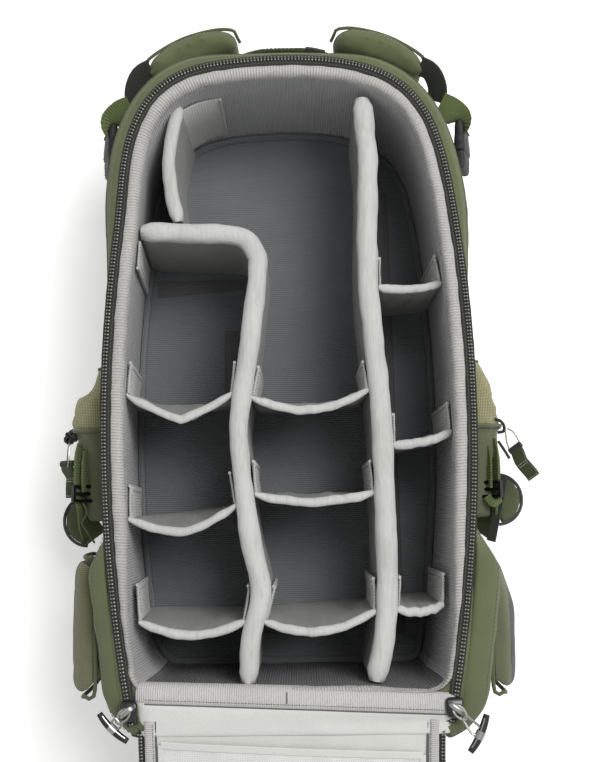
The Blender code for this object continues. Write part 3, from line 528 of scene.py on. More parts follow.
class Graph:
    """Short way to build a node tree behind one Principled shader."""

    def __init__(self, name):
        self.material = bpy.data.materials.new(name)
        self.material.use_nodes = True
        self.tree = self.material.node_tree
        self.shader = self.tree.nodes["Principled BSDF"]
        coords = self.tree.nodes.new("ShaderNodeTexCoord")
        self.cloth, self.place = coords.outputs["UV"], coords.outputs["Object"]

    def feed(self, socket, value):
        if hasattr(value, "links"):
            self.tree.links.new(value, socket)
        else:
            socket.default_value = value

    def math(self, op, a, b=0.0):
        node = self.tree.nodes.new("ShaderNodeMath")
        node.operation = op
        self.feed(node.inputs[0], a)
        self.feed(node.inputs[1], b)
        return node.outputs[0]

    def noise(self, scale, detail=2.0, stretch=None):
        node = self.tree.nodes.new("ShaderNodeTexNoise")
        node.inputs["Scale"].default_value = scale
        node.inputs["Detail"].default_value = detail
        vector = self.place
        if stretch:
            scaled = self.tree.nodes.new("ShaderNodeMapping")
            scaled.inputs["Scale"].default_value = stretch
            self.tree.links.new(vector, scaled.inputs["Vector"])
            vector = scaled.outputs[0]
        self.tree.links.new(vector, node.inputs["Vector"])
        return node.outputs["Fac"]

    def wave(self, period, axis=0, phase=None):
        """Sine of the cloth coordinate, from -1 to 1."""
        split = self.tree.nodes.new("ShaderNodeSeparateXYZ")
        self.tree.links.new(self.cloth, split.inputs[0])
        angle = self.math("MULTIPLY", split.outputs[axis], 2 * math.pi / period)
        if phase is not None:
            angle = self.math("ADD", angle, phase)
        return self.math("SINE", angle)

    def spread(self, value, low, high, to_low=0.0, to_high=1.0):
        node = self.tree.nodes.new("ShaderNodeMapRange")
        self.feed(node.inputs["Value"], value)
        for key, v in (("From Min", low), ("From Max", high), ("To Min", to_low), ("To Max", to_high)):
            node.inputs[key].default_value = v
        return node.outputs[0]

    def mix(self, factor, a, b):
        node = self.tree.nodes.new("ShaderNodeMix")
        node.data_type = "RGBA"
        self.feed(node.inputs["Factor"], factor)
        for key, v in (("A", a), ("B", b)):
            socket = next(s for s in node.inputs if s.name == key and s.type == "RGBA")
            self.feed(socket, v if hasattr(v, "links") else (*v, 1.0))
        return next(s for s in node.outputs if s.type == "RGBA")

    def bump(self, height, distance, strength=1.0):
        node = self.tree.nodes.new("ShaderNodeBump")
        node.inputs["Distance"].default_value = distance
        node.inputs["Strength"].default_value = strength
        self.tree.links.new(height, node.inputs["Height"])
        previous = self.shader.inputs["Normal"].links
        if previous:
            self.tree.links.new(previous[0].from_socket, node.inputs["Normal"])
        self.tree.links.new(node.outputs[0], self.shader.inputs["Normal"])

    def done(self, colour, roughness=0.8, metallic=0.0, sheen=0.0, specular=0.5):
        self.feed(self.shader.inputs["Base Color"], colour if hasattr(colour, "links") else (*colour, 1.0))
        self.feed(self.shader.inputs["Roughness"], roughness)
        self.shader.inputs["Metallic"].default_value = metallic
        self.shader.inputs["Sheen Weight"].default_value = sheen
        self.shader.inputs["Sheen Roughness"].default_value = 0.5
        self.shader.inputs["Specular IOR Level"].default_value = specular
        return self.material


def shade(colour, k):
    return tuple(c * k for c in colour)


def woven(name, colour, thread=0.0011, depth=0.00016, roughness=0.72, fade=0.10, crease=0.25):
    """Plain-woven nylon: threads both ways, faint creases, and wear that fades it in patches."""
    g = Graph(name)
    threads = g.math("MULTIPLY", g.wave(thread, 0), g.wave(thread, 1))
    patches = g.spread(g.noise(26.0, 3.0), 0.35, 0.65)
    fibre = g.spread(g.noise(900.0, 2.0), 0.3, 0.7)
    body = g.mix(patches, shade(colour, 1.0 - fade), shade(colour, 1.0 + fade))
    body = g.mix(g.spread(threads, -1.0, 1.0, 0.0, 0.30), body, shade(colour, 0.55))
    body = g.mix(g.spread(fibre, 0.0, 1.0, 0.0, 0.22), body, shade(colour, 1.35))
    creases = g.noise(85.0, 4.0)
    g.bump(threads, depth)
    g.bump(creases, 0.0012, crease)
    rough = g.spread(patches, 0.0, 1.0, roughness - 0.06, roughness + 0.06)
    return g.done(body, rough, sheen=0.12, specular=0.35)


def ribbed(name, colour, period=0.0022, axis=0, depth=0.0004, dark=0.55, fuzz=0.25, other=0.0009, sheen=0.25):
    """Ribbed loop fabric or webbing: raised ribs across one axis of the cloth, with loops along them."""
    g = Graph(name)
    waver = g.math("MULTIPLY", g.noise(60.0, 1.0), 1.6)
    ribs = g.wave(period, axis, waver)
    loops = g.wave(other, 1 - axis)
    height = g.math("ADD", g.math("MULTIPLY", ribs, 0.75), g.math("MULTIPLY", loops, 0.25))
    patches = g.spread(g.noise(14.0, 3.0), 0.3, 0.7)
    fibre = g.spread(g.noise(1400.0, 2.0), 0.32, 0.68)
    body = g.mix(patches, shade(colour, 0.90), shade(colour, 1.10))
    # Painted shade: the valleys between the ribs are darkened by the share dark.
    body = g.mix(g.spread(height, -0.9, 0.9, 0.55, 0.0), body, shade(colour, dark))
    body = g.mix(g.math("MULTIPLY", fibre, fuzz), body, shade(colour, 1.5))
    g.bump(height, depth)
    g.bump(fibre, 0.0002, 0.5)
    return g.done(body, 0.9, sheen=sheen, specular=0.2)


def fleece(name, colour, speck=0.45, depth=0.0005, streak=(1.0, 1.0, 1.0)):
    """Brushed or felted cloth: specks of darker fibre over a soft nap."""
    g = Graph(name)
    nap = g.noise(760.0, 3.0, stretch=streak)
    tufts = g.noise(330.0, 2.0, stretch=streak)
    patches = g.spread(g.noise(22.0, 3.0), 0.3, 0.7)
    specks = g.spread(tufts, 0.50, 0.70)
    body = g.mix(patches, shade(colour, 0.93), shade(colour, 1.07))
    body = g.mix(g.math("MULTIPLY", specks, speck), body, shade(colour, 0.50))
    body = g.mix(g.spread(nap, 0.45, 0.7, 0.0, 0.35), body, shade(colour, 1.25))
    g.bump(g.math("ADD", nap, tufts), depth, 0.7)
    return g.done(body, 0.92, sheen=0.3, specular=0.2)


def satin(name, colour):
    """Smooth brushed nylon of the divider faces: fine grain streaks in the roughness, also painted in as
    lighter sheen, and soft puckers darkened with painted shade.
    """
    g = Graph(name)
    grain_and_sheen_streaks = g.noise(240.0, 3.0, stretch=(1.0, 1.0, 0.16))
    puckers = g.noise(48.0, 3.0)
    threads = g.math("MULTIPLY", g.wave(0.0009, 0), g.wave(0.0009, 1))
    # Painted sheen: the streaks lighten and darken the colour.
    body = g.mix(g.spread(grain_and_sheen_streaks, 0.35, 0.65), shade(colour, 0.88), shade(colour, 1.08))
    # Painted shade: the puckers darken the colour.
    body = g.mix(g.spread(puckers, 0.35, 0.65, 0.0, 0.35), body, shade(colour, 0.80))
    g.bump(puckers, 0.0022, 0.35)
    g.bump(grain_and_sheen_streaks, 0.0004, 0.4)
    g.bump(threads, 0.00008)
    return g.done(body, g.spread(grain_and_sheen_streaks, 0.3, 0.7, 0.45, 0.6), sheen=0.2,
                  specular=0.4)


def netted(name, colour, hole, cell=0.0026, depth=0.0006, fill=0.16):
    """Knitted mesh: rows of round holes, every second row shifted."""
    g = Graph(name)
    a = g.wave(cell, 0)
    b = g.wave(cell * 0.9, 1)
    cells = g.math("MULTIPLY", a, b)
    holes = g.spread(g.math("ABSOLUTE", cells), fill, fill + 0.35)
    patches = g.spread(g.noise(40.0, 3.0), 0.3, 0.7)
    fibre = g.spread(g.noise(1500.0, 1.0), 0.3, 0.7)
    body = g.mix(patches, shade(colour, 0.85), shade(colour, 1.12))
    body = g.mix(g.math("MULTIPLY", fibre, 0.25), body, shade(colour, 1.35))
    body = g.mix(g.math("MULTIPLY", holes, 0.8), body, hole)
    g.bump(g.math("SUBTRACT", 1.0, holes), depth, 0.8)
    return g.done(body, 0.85, sheen=0.15, specular=0.25)


def moulded(name, colour, roughness=0.42, metallic=0.0, wear=1.6):
    """Moulded plastic or plated metal with a fine surface and rubbed high spots."""
    g = Graph(name)
    fine = g.noise(1800.0, 2.0)
    rubbed = g.spread(g.noise(90.0, 4.0), 0.52, 0.72)
    body = g.mix(g.math("MULTIPLY", rubbed, 0.35), colour, shade(colour, wear))
    g.bump(fine, 0.00006)
    rough = g.spread(rubbed, 0.0, 1.0, roughness, roughness + 0.14)
    return g.done(body, rough, metallic=metallic)


M = {
    "nylon": woven("green_nylon_cloth", srgb(99, 103, 78)),
    "nylon_top": woven("green_nylon_top", srgb(98, 105, 72), thread=0.0010, crease=0.35),
    "wing_rib": ribbed("olive_ribbed_cloth", srgb(110, 112, 84), period=0.0016, axis=1, depth=0.0003,
                       fuzz=0.12),
    "base": woven("base_cloth", srgb(88, 95, 66), thread=0.0017, depth=0.0003, roughness=0.8),
    "webbing": ribbed("green_webbing_cloth", srgb(98, 112, 68), period=0.0021, axis=0, depth=0.00035,
                      fuzz=0.12, other=0.0010, sheen=0.1),
    "webbing_dark": ribbed("dark_webbing_cloth", srgb(62, 70, 44), period=0.0019, axis=0, depth=0.0003,
                           fuzz=0.1),
    "khaki": netted("khaki_mesh_cloth", srgb(176, 172, 134), srgb(86, 86, 56), cell=0.0030),
    "spacer": netted("spacer_mesh_cloth", srgb(88, 88, 92), srgb(22, 22, 24), cell=0.0034, fill=0.2),
    "panel_net": netted("panel_mesh_cloth", srgb(240, 241, 240), srgb(210, 211, 209), cell=0.0030,
                        depth=0.0005),
    "liner_wall": ribbed("liner_wall_cloth", srgb(186, 187, 188), period=0.0023, axis=0, depth=0.0005,
                         dark=0.60),
    "liner_floor": ribbed("liner_floor_cloth", srgb(122, 124, 127), period=0.0019, axis=1, depth=0.00045,
                          dark=0.62),
    # Painted shade: a darker copy of the liner wall cloth for the shaded base end of the wall.
    "base_wall_painted_shade": ribbed("liner_wall_painted_shade_cloth", srgb(80, 81, 84), period=0.0021, axis=0, depth=0.0005, dark=0.60),
    "patch": ribbed("liner_patch_cloth", srgb(104, 104, 106), period=0.0015, axis=1, depth=0.0003, dark=0.55),
    "binding": ribbed("rim_binding_cloth", srgb(186, 185, 182), period=0.0024, axis=0, depth=0.0005,
                      dark=0.66, fuzz=0.45),
    "band": fleece("divider_edge_cloth", srgb(186, 186, 184), speck=0.26, depth=0.0005,
                   streak=(1.0, 0.12, 1.0)),
    "face": satin("divider_face_cloth", srgb(134, 134, 132)),
    "tab": ribbed("divider_tab_cloth", srgb(190, 190, 187), period=0.0024, axis=0, depth=0.0003, dark=0.75,
                  fuzz=0.3),
    "lining": woven("panel_lining_cloth", srgb(217, 218, 213), thread=0.0008, depth=0.00008, roughness=0.7,
                    fade=0.03, crease=0.4),
    "piping": ribbed("grey_ribbed_tape", srgb(200, 199, 197), period=0.0018, axis=0, depth=0.00035,
                     dark=0.72),
    "tape": woven("zipper_tape_cloth", srgb(50, 52, 46), thread=0.0009, depth=0.0002, roughness=0.85,
                  fade=0.2),
    "thread_dark": fleece("dark_thread", srgb(92, 92, 92), speck=0.2, depth=0.0001),
    "thread_light": fleece("light_thread", srgb(196, 196, 192), speck=0.1, depth=0.0001),
    "thread_green": fleece("green_thread", srgb(74, 80, 56), speck=0.1, depth=0.0001),
    "black": moulded("black_acetal", srgb(26, 25, 27), roughness=0.62),
    "sheet": moulded("stiffener_sheet", srgb(58, 58, 60), roughness=0.55),
    "nickel": moulded("nickel_plate", srgb(176, 175, 170), roughness=0.30, metallic=1.0, wear=0.7),
    "gunmetal": moulded("dark_plate", srgb(70, 70, 72), roughness=0.32, metallic=1.0, wear=2.2),
}


def chain_material(name, core, tip, reach):
    """Zipper coil: dark in the middle of the chain, with a painted highlight at the tips of the teeth."""
    g = Graph(name)
    split = g.tree.nodes.new("ShaderNodeSeparateXYZ")
    g.tree.links.new(g.cloth, split.inputs[0])
    across = g.math("ABSOLUTE", split.outputs[1])
    ends = g.spread(across, reach * 0.45, reach * 0.85)
    # Painted highlight: the tips of the teeth get the light colour, made patchy by noise.
    tip_highlight_breakup = g.spread(g.noise(240.0, 2.0), 0.35, 0.65, 0.55, 1.0)
    body = g.mix(g.math("MULTIPLY", ends, tip_highlight_breakup), core, tip)
    g.bump(g.noise(1500.0, 2.0), 0.00005)
    return g.done(body, 0.38, specular=0.5)


# The second, light colour is the painted highlight of the coil tips.
M["teeth"] = chain_material("zipper_coil", srgb(74, 75, 70), srgb(204, 203, 194), 0.0016)


# ---------------------------------------------------------------- camera, floor and light
CAMERA_PLACE = (0.00958, -0.12161, 1.049)
CAMERA_TILT, CAMERA_ROLL = math.radians(7.32), math.radians(-0.644)
CAMERA_LENS, CAMERA_SENSOR = 49.98, 36.0


def make_camera():
    """Camera of the photo, a little off vertical."""
    look = Vector((0.0, math.sin(CAMERA_TILT), -math.cos(CAMERA_TILT)))
    up = Vector((0.0, math.cos(CAMERA_TILT), math.sin(CAMERA_TILT)))
    right = Vector((1.0, 0.0, 0.0))
    c, s = math.cos(CAMERA_ROLL), math.sin(CAMERA_ROLL)
    x, y = right * c + up * s, up * c - right * s
    data = bpy.data.cameras.new("camera")
    data.lens, data.sensor_width = CAMERA_LENS, CAMERA_SENSOR
    data.clip_start, data.clip_end = 0.05, 20.0
    obj = bpy.data.objects.new("camera", data)
    turn = Matrix((x, y, -look)).transposed()
    obj.matrix_world = Matrix.Translation(CAMERA_PLACE) @ turn.to_4x4()
    bpy.context.scene.collection.objects.link(obj)
    bpy.context.scene.camera = obj


def area(name, place, target, size, power, colour):
    data = bpy.data.lights.new(name, "AREA")
    data.size, data.energy, data.color = size, power, colour
    obj = bpy.data.objects.new(name, data)
    obj.location = place
    obj.rotation_mode = "QUATERNION"
    obj.rotation_quaternion = (Vector(target) - Vector(place)).to_track_quat("-Z", "Y")
    bpy.context.scene.collection.objects.link(obj)


FLOOR_HALF, FLOOR_Z, FLOOR_GLOW, WORLD_LIGHT = 6.0, -0.0008, 0.30, 0.56
KEY_PLACE, KEY_TARGET, KEY_SIZE, KEY_POWER = (0.85, 0.62, 2.20), (0.0, -0.05, 0.1), 1.1, 42.0
KEY_COLOUR = (1.0, 0.995, 0.985)


def make_stage():
    """White floor that glows a little, even light from all round, and one soft key light."""
    g = Graph("studio_floor")
    paper = g.mix(g.noise(3.0, 2.0), (0.93, 0.93, 0.93), (0.95, 0.95, 0.95))
    g.bump(g.noise(500.0, 2.0), 0.00005)
    mat = g.done(paper, 0.85, specular=0.1)
    g.shader.inputs["Emission Color"].default_value = (1.0, 1.0, 1.0, 1.0)
    g.shader.inputs["Emission Strength"].default_value = FLOOR_GLOW
    corners = [(x * FLOOR_HALF, y * FLOOR_HALF, FLOOR_Z) for x, y in ((-1, -1), (1, -1), (1, 1), (-1, 1))]
    mesh = bpy.data.meshes.new("studio_floor")
    mesh.from_pydata(corners, [], [(0, 1, 2, 3)])
    mesh.materials.append(mat)
    floor = bpy.data.objects.new("studio_floor", mesh)
    bpy.context.scene.collection.objects.link(floor)
    world = bpy.data.worlds.new("studio")
    world.use_nodes = True
    background = world.node_tree.nodes["Background"]
    background.inputs[0].default_value = (1.0, 1.0, 1.0, 1.0)
    background.inputs[1].default_value = WORLD_LIGHT
    bpy.context.scene.world = world
    area("key", KEY_PLACE, KEY_TARGET, KEY_SIZE, KEY_POWER, KEY_COLOUR)
    bpy.context.scene.view_settings.view_transform = "Standard"


# ---------------------------------------------------------------- body shell and lining
# height, growth, y at the middle of the base, y at its ears, corner radius, waist, swell of the head corners
GUSSET_LEVELS = (
    (0.0364, 0.0040, -0.2720, -0.2740, 0.035, 1.00, 0.0),
    (0.0600, 0.0120, -0.2860, -0.2880, 0.045, 1.00, 0.0),
    (0.1050, 0.0160, -0.2920, -0.2940, 0.045, 0.90, 0.002),
    (0.1460, 0.0140, -0.2840, -0.2920, 0.040, 0.55, 0.005),
    (0.1600, 0.0120, -0.2690, -0.2900, 0.034, 0.30, 0.006),
    (0.1800, 0.0085, -0.2684, -0.2880, 0.026, 0.20, 0.005),
    (0.1872, 0.0050, -0.2683, -0.2870, 0.022, 0.30, 0.003),
)
GAP = 0.0006
FRONT_ZIP_Y, FRONT_ZIP_Z = -0.2404, 0.016
BUMPER_BACK_Y, BUMPER_RADIUS, BUMPER_OFF = -0.2954, 0.045, 0.0172


def make_shell():
    """Padded gusset of the body with its seams, and the heavier nylon bumpers of the two base corners."""
    rows = []
    for z, grow, mid, ear, corner, waist, swell in smooth_path(GUSSET_LEVELS, 5):
        loop = outline(grow, max(mid, -0.2925), max(ear, -0.2945), corner, waist, swell=swell)
        rows.append(level(loop, z))
    rows.append(level(outline(0.0026, GUSSET_FACE_Y, EAR_Y, 0.021), 0.1876))
    inside = outline(LINER_OFF + GAP, LINER_BACK_Y - GAP, None, 0.020, base=15)
    rows += [level(inside, z) for z in (0.1870, 0.1400, 0.0900, GUSSET_LEVELS[0][0])]
    shell = grid("gusset_shell", rows, M["nylon_top"], wrap_rows=True, replaces="gusset", slot="green_nylon",
                 sharp=60.0)

    def outer(co):
        if abs(co.x) < 0.13 and abs(co.y) < 0.24:
            return 0.0
        return min(1.0, max(0.0, (0.186 - co.z) / 0.03)) * min(1.0, max(0.0, (co.z - 0.04) / 0.03))
    wrinkle(shell, 0.0022, 0.034, 3.1, outer)
    flat_map(shell)
    high = min(rows[20:35], key=lambda row: abs(row[0].z - 0.1800))
    line = [p for p in high if p.y > -0.262]
    mid = min(rows[:20], key=lambda row: abs(row[0].z - 0.1050))
    low = [p for p in mid if p.y > -0.235]
    tube("gusset_seam", line, 0.0008, M["nylon"], sides=5)
    tube("gusset_mid_seam", low, 0.0017, M["base"], sides=6)
    stitches("gusset_stitch", [[p + Vector((0, 0, 0.0020)) for p in line]], [UP], M["thread_green"],
             pitch=0.0036)

    turn_y = BUMPER_BACK_Y + BUMPER_RADIUS
    turn_x = side_x(turn_y, BUMPER_OFF) - BUMPER_RADIUS
    for name, sign in SIDES.items():
        arc = []
        for k in range(25):
            angle = math.pi / 2 * k / 24
            arc.append(Vector((sign * (turn_x + BUMPER_RADIUS * math.sin(angle)),
                               turn_y - BUMPER_RADIUS * math.cos(angle))))
        shape = [(0.0, 0.060), (0.0012, 0.0585), (0.0026, 0.0640), (0.0033, 0.080), (0.0036, 0.100),
                 (0.0033, 0.120), (0.0026, 0.136), (0.0012, 0.1410), (0.0, 0.140), (0.0, 0.100)]
        strip = swept("base_corner_pad_" + name, arc, [(sign * off, z) for off, z in shape], M["base"],
                      replaces="base_corner_" + name, slot="base_nylon", sharp=70.0)
        normals = normals_of(arc)
        for tag, z in (("low", 0.0605), ("high", 0.1395)):
            line = [p.to_3d() + n.to_3d() * sign * 0.0016 + UP * z for p, n in zip(arc, normals)]
            tube("base_piping_%s_%s" % (tag, name), line, 0.0015, M["nylon"], sides=6)
        ear = []
        for p in outline(0.0052, GUSSET_FACE_Y, EAR_Y, 0.022):
            if p.x * sign > NOTCH_X + 0.002 and p.y < -0.232:
                ear.append(Vector((p.x, p.y, 0.1856)))
        ear.sort(key=lambda p: math.atan2(p.y + 0.240, abs(p.x) - 0.115))
        tube("corner_piping_" + name, even(ear, 0.003), 0.0016, M["base"], sides=7)
        outward = 1 if (ear[-1].y > ear[0].y) == (sign > 0) else -1
        shape = ((-0.001, 0.150), (0.0060, 0.150), (0.0082, 0.160), (0.0078, 0.170), (0.0055, 0.1775),
                 (0.0010, 0.1810), (-0.001, 0.1810))
        rim = swept("bumper_" + name, even([p.xy for p in ear], 0.003),
                    [(off * outward, z) for off, z in shape], M["nylon"], sharp=70.0)
        wrinkle(rim, 0.0008, 0.012, 5.0)


HIP_LEVELS = ((0.0030, 0.1866), (0.0060, 0.1868), (0.0110, 0.1850), (0.0165, 0.1810), (0.0200, 0.1745),
              (0.0208, 0.1620), (0.0190, 0.1520), (0.0120, 0.1440), (0.0040, 0.1400))
HIP_REACH = {"left": 1.0, "right": 1.55}


def make_hips():
    """Padded swell of the gusset over each hip wing, running round the base corner."""
    base = outline(0.0040, GUSSET_FACE_Y, EAR_Y, 0.022, 0.5)
    for name, sign in SIDES.items():
        keep = [i for i, p in enumerate(base) if p.x * sign > EAR_X + 0.001 and p.y < -0.128]
        rows = []
        for i in keep:
            fade = smooth_step(-base[i].y, 0.128, 0.175)
            row = []
            for off, z in HIP_LEVELS:
                off = 0.0030 + (off - 0.0030) * fade * (HIP_REACH[name] if z > 0.17 else 1.0)
                loop = outline(off, GUSSET_FACE_Y, EAR_Y - 0.45 * off, 0.022 + off * 0.9, 1.0)
                row.append(Vector((loop[i].x, loop[i].y, z)))
            rows.append(row)
        pad = grid("hip_swell_" + name, rows, M["nylon_top"], body=None, sharp=70.0)
        subdivide(pad)
        baked(pad)
        wrinkle(pad, 0.0024, 0.030, 8.0 + sign, lambda co: smooth_step(0.187 - co.z, 0.002, 0.012))
        flat_map(pad)
        edge = [row[3] + Vector((sign * 0.0004, 0.0, 0.0006)) for row in rows]
        line = stitches("hip_stitch_" + name, [edge], [UP], M["thread_green"], pitch=0.0036, body=None)
        for piece in (pad, line):
            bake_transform(piece)


def make_front():
    """Front face and its organiser pocket, which lie under the bag, with the pocket's zipper."""
    rows = []
    for z, grow, base in ((0.0304, -0.0120, -0.2580), (0.0318, -0.0050, -0.2660), (0.0335, 0.0010, -0.2700),
                          (0.0350, 0.0028, -0.2720), (0.0360, 0.0030, -0.2725)):
        rows.append(level(outline(grow, base, None, 0.035), z))
    face = grid("front_face", rows, M["nylon"], replaces="front_panel", slot="green_nylon", caps=True)
    rows = []
    for z, grow, base in ((0.0, -0.044, -0.2180), (0.0004, -0.040, -0.2220), (0.0022, -0.0345, -0.2290),
                          (0.0060, -0.0300, -0.2340), (0.0130, -0.0272, -0.2368), (0.0220, -0.0260, -0.2380),
                          (0.0280, -0.0275, -0.2365), (0.0300, -0.0300, -0.2340)):
        rows.append(level(outline(grow, base, None, 0.020), z))
    pocket = grid("front_pocket_cloth", rows, M["nylon"], replaces="front_pocket", slot="green_nylon")
    wrinkle(pocket, 0.0012, 0.028, 7.7, lambda co: 1.0 if 0.003 < co.z < 0.028 else 0.0)
    flat_map(pocket)
    edge = level(outline(-0.0010, -0.2695, None, 0.035), 0.0325)
    tube("front_piping", edge, 0.0016, M["base"], sides=7, closed=True)
    y = FRONT_ZIP_Y
    tape = [(x / 50 * 0.098, y + 0.0012, FRONT_ZIP_Z) for x in range(-50, 51, 5)]
    strip = webbing("front_zip_tape", tape, UP, 0.016, 0.0008, M["tape"])
    chain = [Vector((x / 60 * 0.095, y, FRONT_ZIP_Z)) for x in range(-60, 61)]
    teeth("front_zip_teeth", chain, Vector((0, -1, 0)), 0.0016, 0.0020, 0.0014, pitch=0.0019,
          replaces="front_zip_chain", slot="zipper_teeth")
    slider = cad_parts["front_zip_slider"]
    slider.data.materials.clear()
    slider.data.materials.append(M["gunmetal"])
    tube("front_zip_loop", smooth_path([(-0.088, y - 0.0045, 0.0115), (-0.090, y - 0.0058, 0.004),
                                        (-0.085, y - 0.0064, 0.0022), (-0.080, y - 0.0058, 0.004),
                                        (-0.082, y - 0.0045, 0.0115)], 5), 0.0009, M["webbing"], sides=6,
         body="front_slider")


COIL_HALF, COIL_HEIGHT, COIL_WIDTH = 0.0017, 0.0024, 0.0019


def teeth(name, line, up, half, height, width, pitch=0.0029, body=BODY, **kw):
    """Zipper coil: one rounded bar across the chain for each pitch, with cloth v measured from its middle."""
    verts, faces, flat = [], [], []
    line = even(line, pitch)
    for k, (a, b) in enumerate(zip(line, line[1:])):
        along = (b - a).normalized()
        across = up.cross(along).normalized()
        centre = (a + b) / 2
        base = len(verts)
        v, f = bead(centre, across, up, half * 2.15, width, height)
        verts += v
        flat += [(k * pitch, (p - centre).dot(across)) for p in v]
        faces += [tuple(base + i for i in face) for face in f]
    uvs = [flat[i] for face in faces for i in face]
    return put(name, verts, faces, M["teeth"], loop_uvs=uvs, body=body, sharp=None, **kw)


def bind_taper(p):
    """Share of the rim binding's width that is given up towards the base, on both sides."""
    return 0.62 * smooth_step(-p.y, 0.120, 0.225) * smooth_step(abs(p.x), 0.060, 0.100)


def out_lean(p):
    """How far the wall's foot stands outside its top edge at p: most along the left wall."""
    left = 0.0086 * smooth_step(-p.x, 0.080, 0.118) * smooth_step(0.225 - p.y, 0.0, 0.05)
    right = 0.0016 * smooth_step(p.x, 0.080, 0.118)
    return (left + right) * smooth_step(p.y, -0.252, -0.235)


def lean_out(obj):
    """Leans the ends of a piece that stands against the left wall with that wall."""
    for v in obj.data.vertices:
        co = v.co
        reach = inner_x(co.y)
        near = smooth_step(-co.x, reach - 0.030, reach - 0.001)
        co.x -= near * out_lean(co) * (1.0 - min(1.0, max(0.0, (co.z - FLOOR_TOP) / (LINER_TOP - FLOOR_TOP))))


def make_liner():
    """Floor pad, ribbed wall lining with its foot seam, and the binding over the rim."""
    rows = []
    rings = [(0.0364, 0.05), (0.0364, 1.0), (0.0440, 1.0), (FLOOR_TOP, 1.0)]
    rings += [(FLOOR_TOP, 0.985 - 0.065 * k) for k in range(15)]
    rim = outline(LINER_OFF, LINER_BACK_Y, None, 0.020)
    for z, k in rings:
        rows.append([Vector((p.x * k, p.y * k, z)) for p in rim])
    floor = grid("floor_cloth", rows, M["liner_floor"], replaces="liner_floor", slot="liner_grey", sharp=70.0)
    wrinkle(floor, 0.0007, 0.045, 1.3, lambda co: 1.0 if co.z > 0.049 else 0.0)
    flat_map(floor)

    inner = outline(OPENING_OFF, LINER_BASE_Y, None, 0.014)
    outer = outline(LINER_OFF, LINER_BACK_Y, None, 0.020)
    bind_out = outline(-0.0045, LINER_BACK_Y - 0.0012, None, 0.021)
    steps = 16
    rows, length = [], 0.0
    for i, (a, b) in enumerate(zip(inner, outer)):
        slope = out_lean(a)
        if i:
            length += (a - inner[i - 1]).length
        out = (b - a).normalized()
        row = []
        for k in range(steps + 1):
            t = k / steps
            fold = noise.noise(Vector((length / 0.030, t * 0.8, 4.0)))
            fold += 0.5 * noise.noise(Vector((length / 0.011, t * 1.5, 9.0)))
            belly = math.sin(math.pi * t)
            flare = min(bind_taper(a) * (bind_out[i] - a).length, (b - a).length - GAP)
            flare *= smooth_step(t, 0.45, 1.0)
            inset = 0.0003 - 0.0013 * fold * belly ** 0.6 - slope * (1.0 - t) - flare
            row.append((a - out * inset).to_3d() + UP * (FLOOR_TOP + 0.0004 + (LINER_TOP - FLOOR_TOP) * t))
        row += [(b + out * GAP).to_3d() + UP * LINER_TOP, b.to_3d() + UP * 0.115,
                b.to_3d() + UP * (FLOOR_TOP + 0.0004)]
        rows.append(row)
    # Painted shade: the wall's base end, below y = -0.250, takes the darker copy of the wall cloth.
    wall = grid("wall_cloth", rows, [M["liner_wall"], M["base_wall_painted_shade"]], wrap_rows=True, replaces="liner_wall",
                slot="liner_grey", sharp=70.0, band=lambda i, j: 1 if rows[i][0].y < -0.250 else 0)

    seam = [(0.0002, 0.0502), (-0.0012, 0.0532), (-0.0030, 0.0542), (-0.0048, 0.0534), (-0.0060, 0.0512),
            (-0.0062, 0.0500), (0.0002, 0.0495)]
    foot = []
    for a, b in zip(inner, outer):
        foot.append(a + (b - a).normalized() * out_lean(a))
    tape = swept("floor_edge_tape", even(foot, 0.004, closed=True), seam, M["liner_floor"], closed=True,
                 sharp=80.0)
    wrinkle(tape, 0.0010, 0.012, 2.0)
    lines = []
    for off, z in ((-0.0072, 0.0508), (-0.0004, 0.0546)):
        line = even(foot, 0.004, closed=True)
        lines.append([(p + n * off).to_3d() + UP * z for p, n in zip(line, normals_of(line, True))])
    stitches("floor_edge_stitch", lines, [UP, UP], M["thread_dark"], pitch=0.0032)

    shape = ((0.02, 0.1788), (-0.03, 0.1806), (-0.03, 0.1836), (0.03, 0.1863), (0.14, 0.1884), (0.32, 0.1896),
             (0.56, 0.1896), (0.78, 0.1888), (0.92, 0.1878), (1.0, 0.1868), (0.96, 0.1862), (0.5, 0.1862),
             (0.14, 0.1850), (0.08, 0.1820), (0.06, 0.1790))
    rows = []
    for a, b in zip(inner, bind_out):
        narrow = bind_taper(a)
        rows.append([a.lerp(b, narrow + (1.0 - narrow) * t).to_3d() + UP * z for t, z in shape])
    rim_cloth = grid("rim_cloth", rows, M["binding"], wrap_rows=True, replaces="rim_binding",
                     slot="binding_grey", sharp=80.0)
    subdivide(rim_cloth)
    baked(rim_cloth)
    wrinkle(rim_cloth, 0.0009, 0.013, 6.0)
    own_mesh(rim_cloth)


def make_body_zipper():
    """Body half of the main zipper: tape, coil and one row of stitching."""
    line = zipper_line(0.0, EAR_Y + 0.0035)
    shape = [(-0.0056, 0.1875), (-0.0030, 0.1873), (0.0030, 0.1874), (0.0034, 0.1880), (0.0022, 0.1884),
             (0.0, 0.1882), (-0.0030, 0.1884), (-0.0044, 0.1885), (-0.0056, 0.1882)]
    tape = swept("zipper_tape_cloth_body", line, shape, M["tape"], replaces="zipper_tape_body",
                 slot="zipper_tape")
    wrinkle(tape, 0.0003, 0.008, 2.0)
    teeth("zipper_coil_body", level(line, 0.18975), UP, COIL_HALF, COIL_HEIGHT, COIL_WIDTH,
          replaces="zipper_chain_body", slot="zipper_teeth")
    stitches("zipper_tape_stitch", [level(zipper_line(-0.0036, EAR_Y + 0.006), 0.1887)], [UP],
             M["thread_dark"], pitch=0.0030)


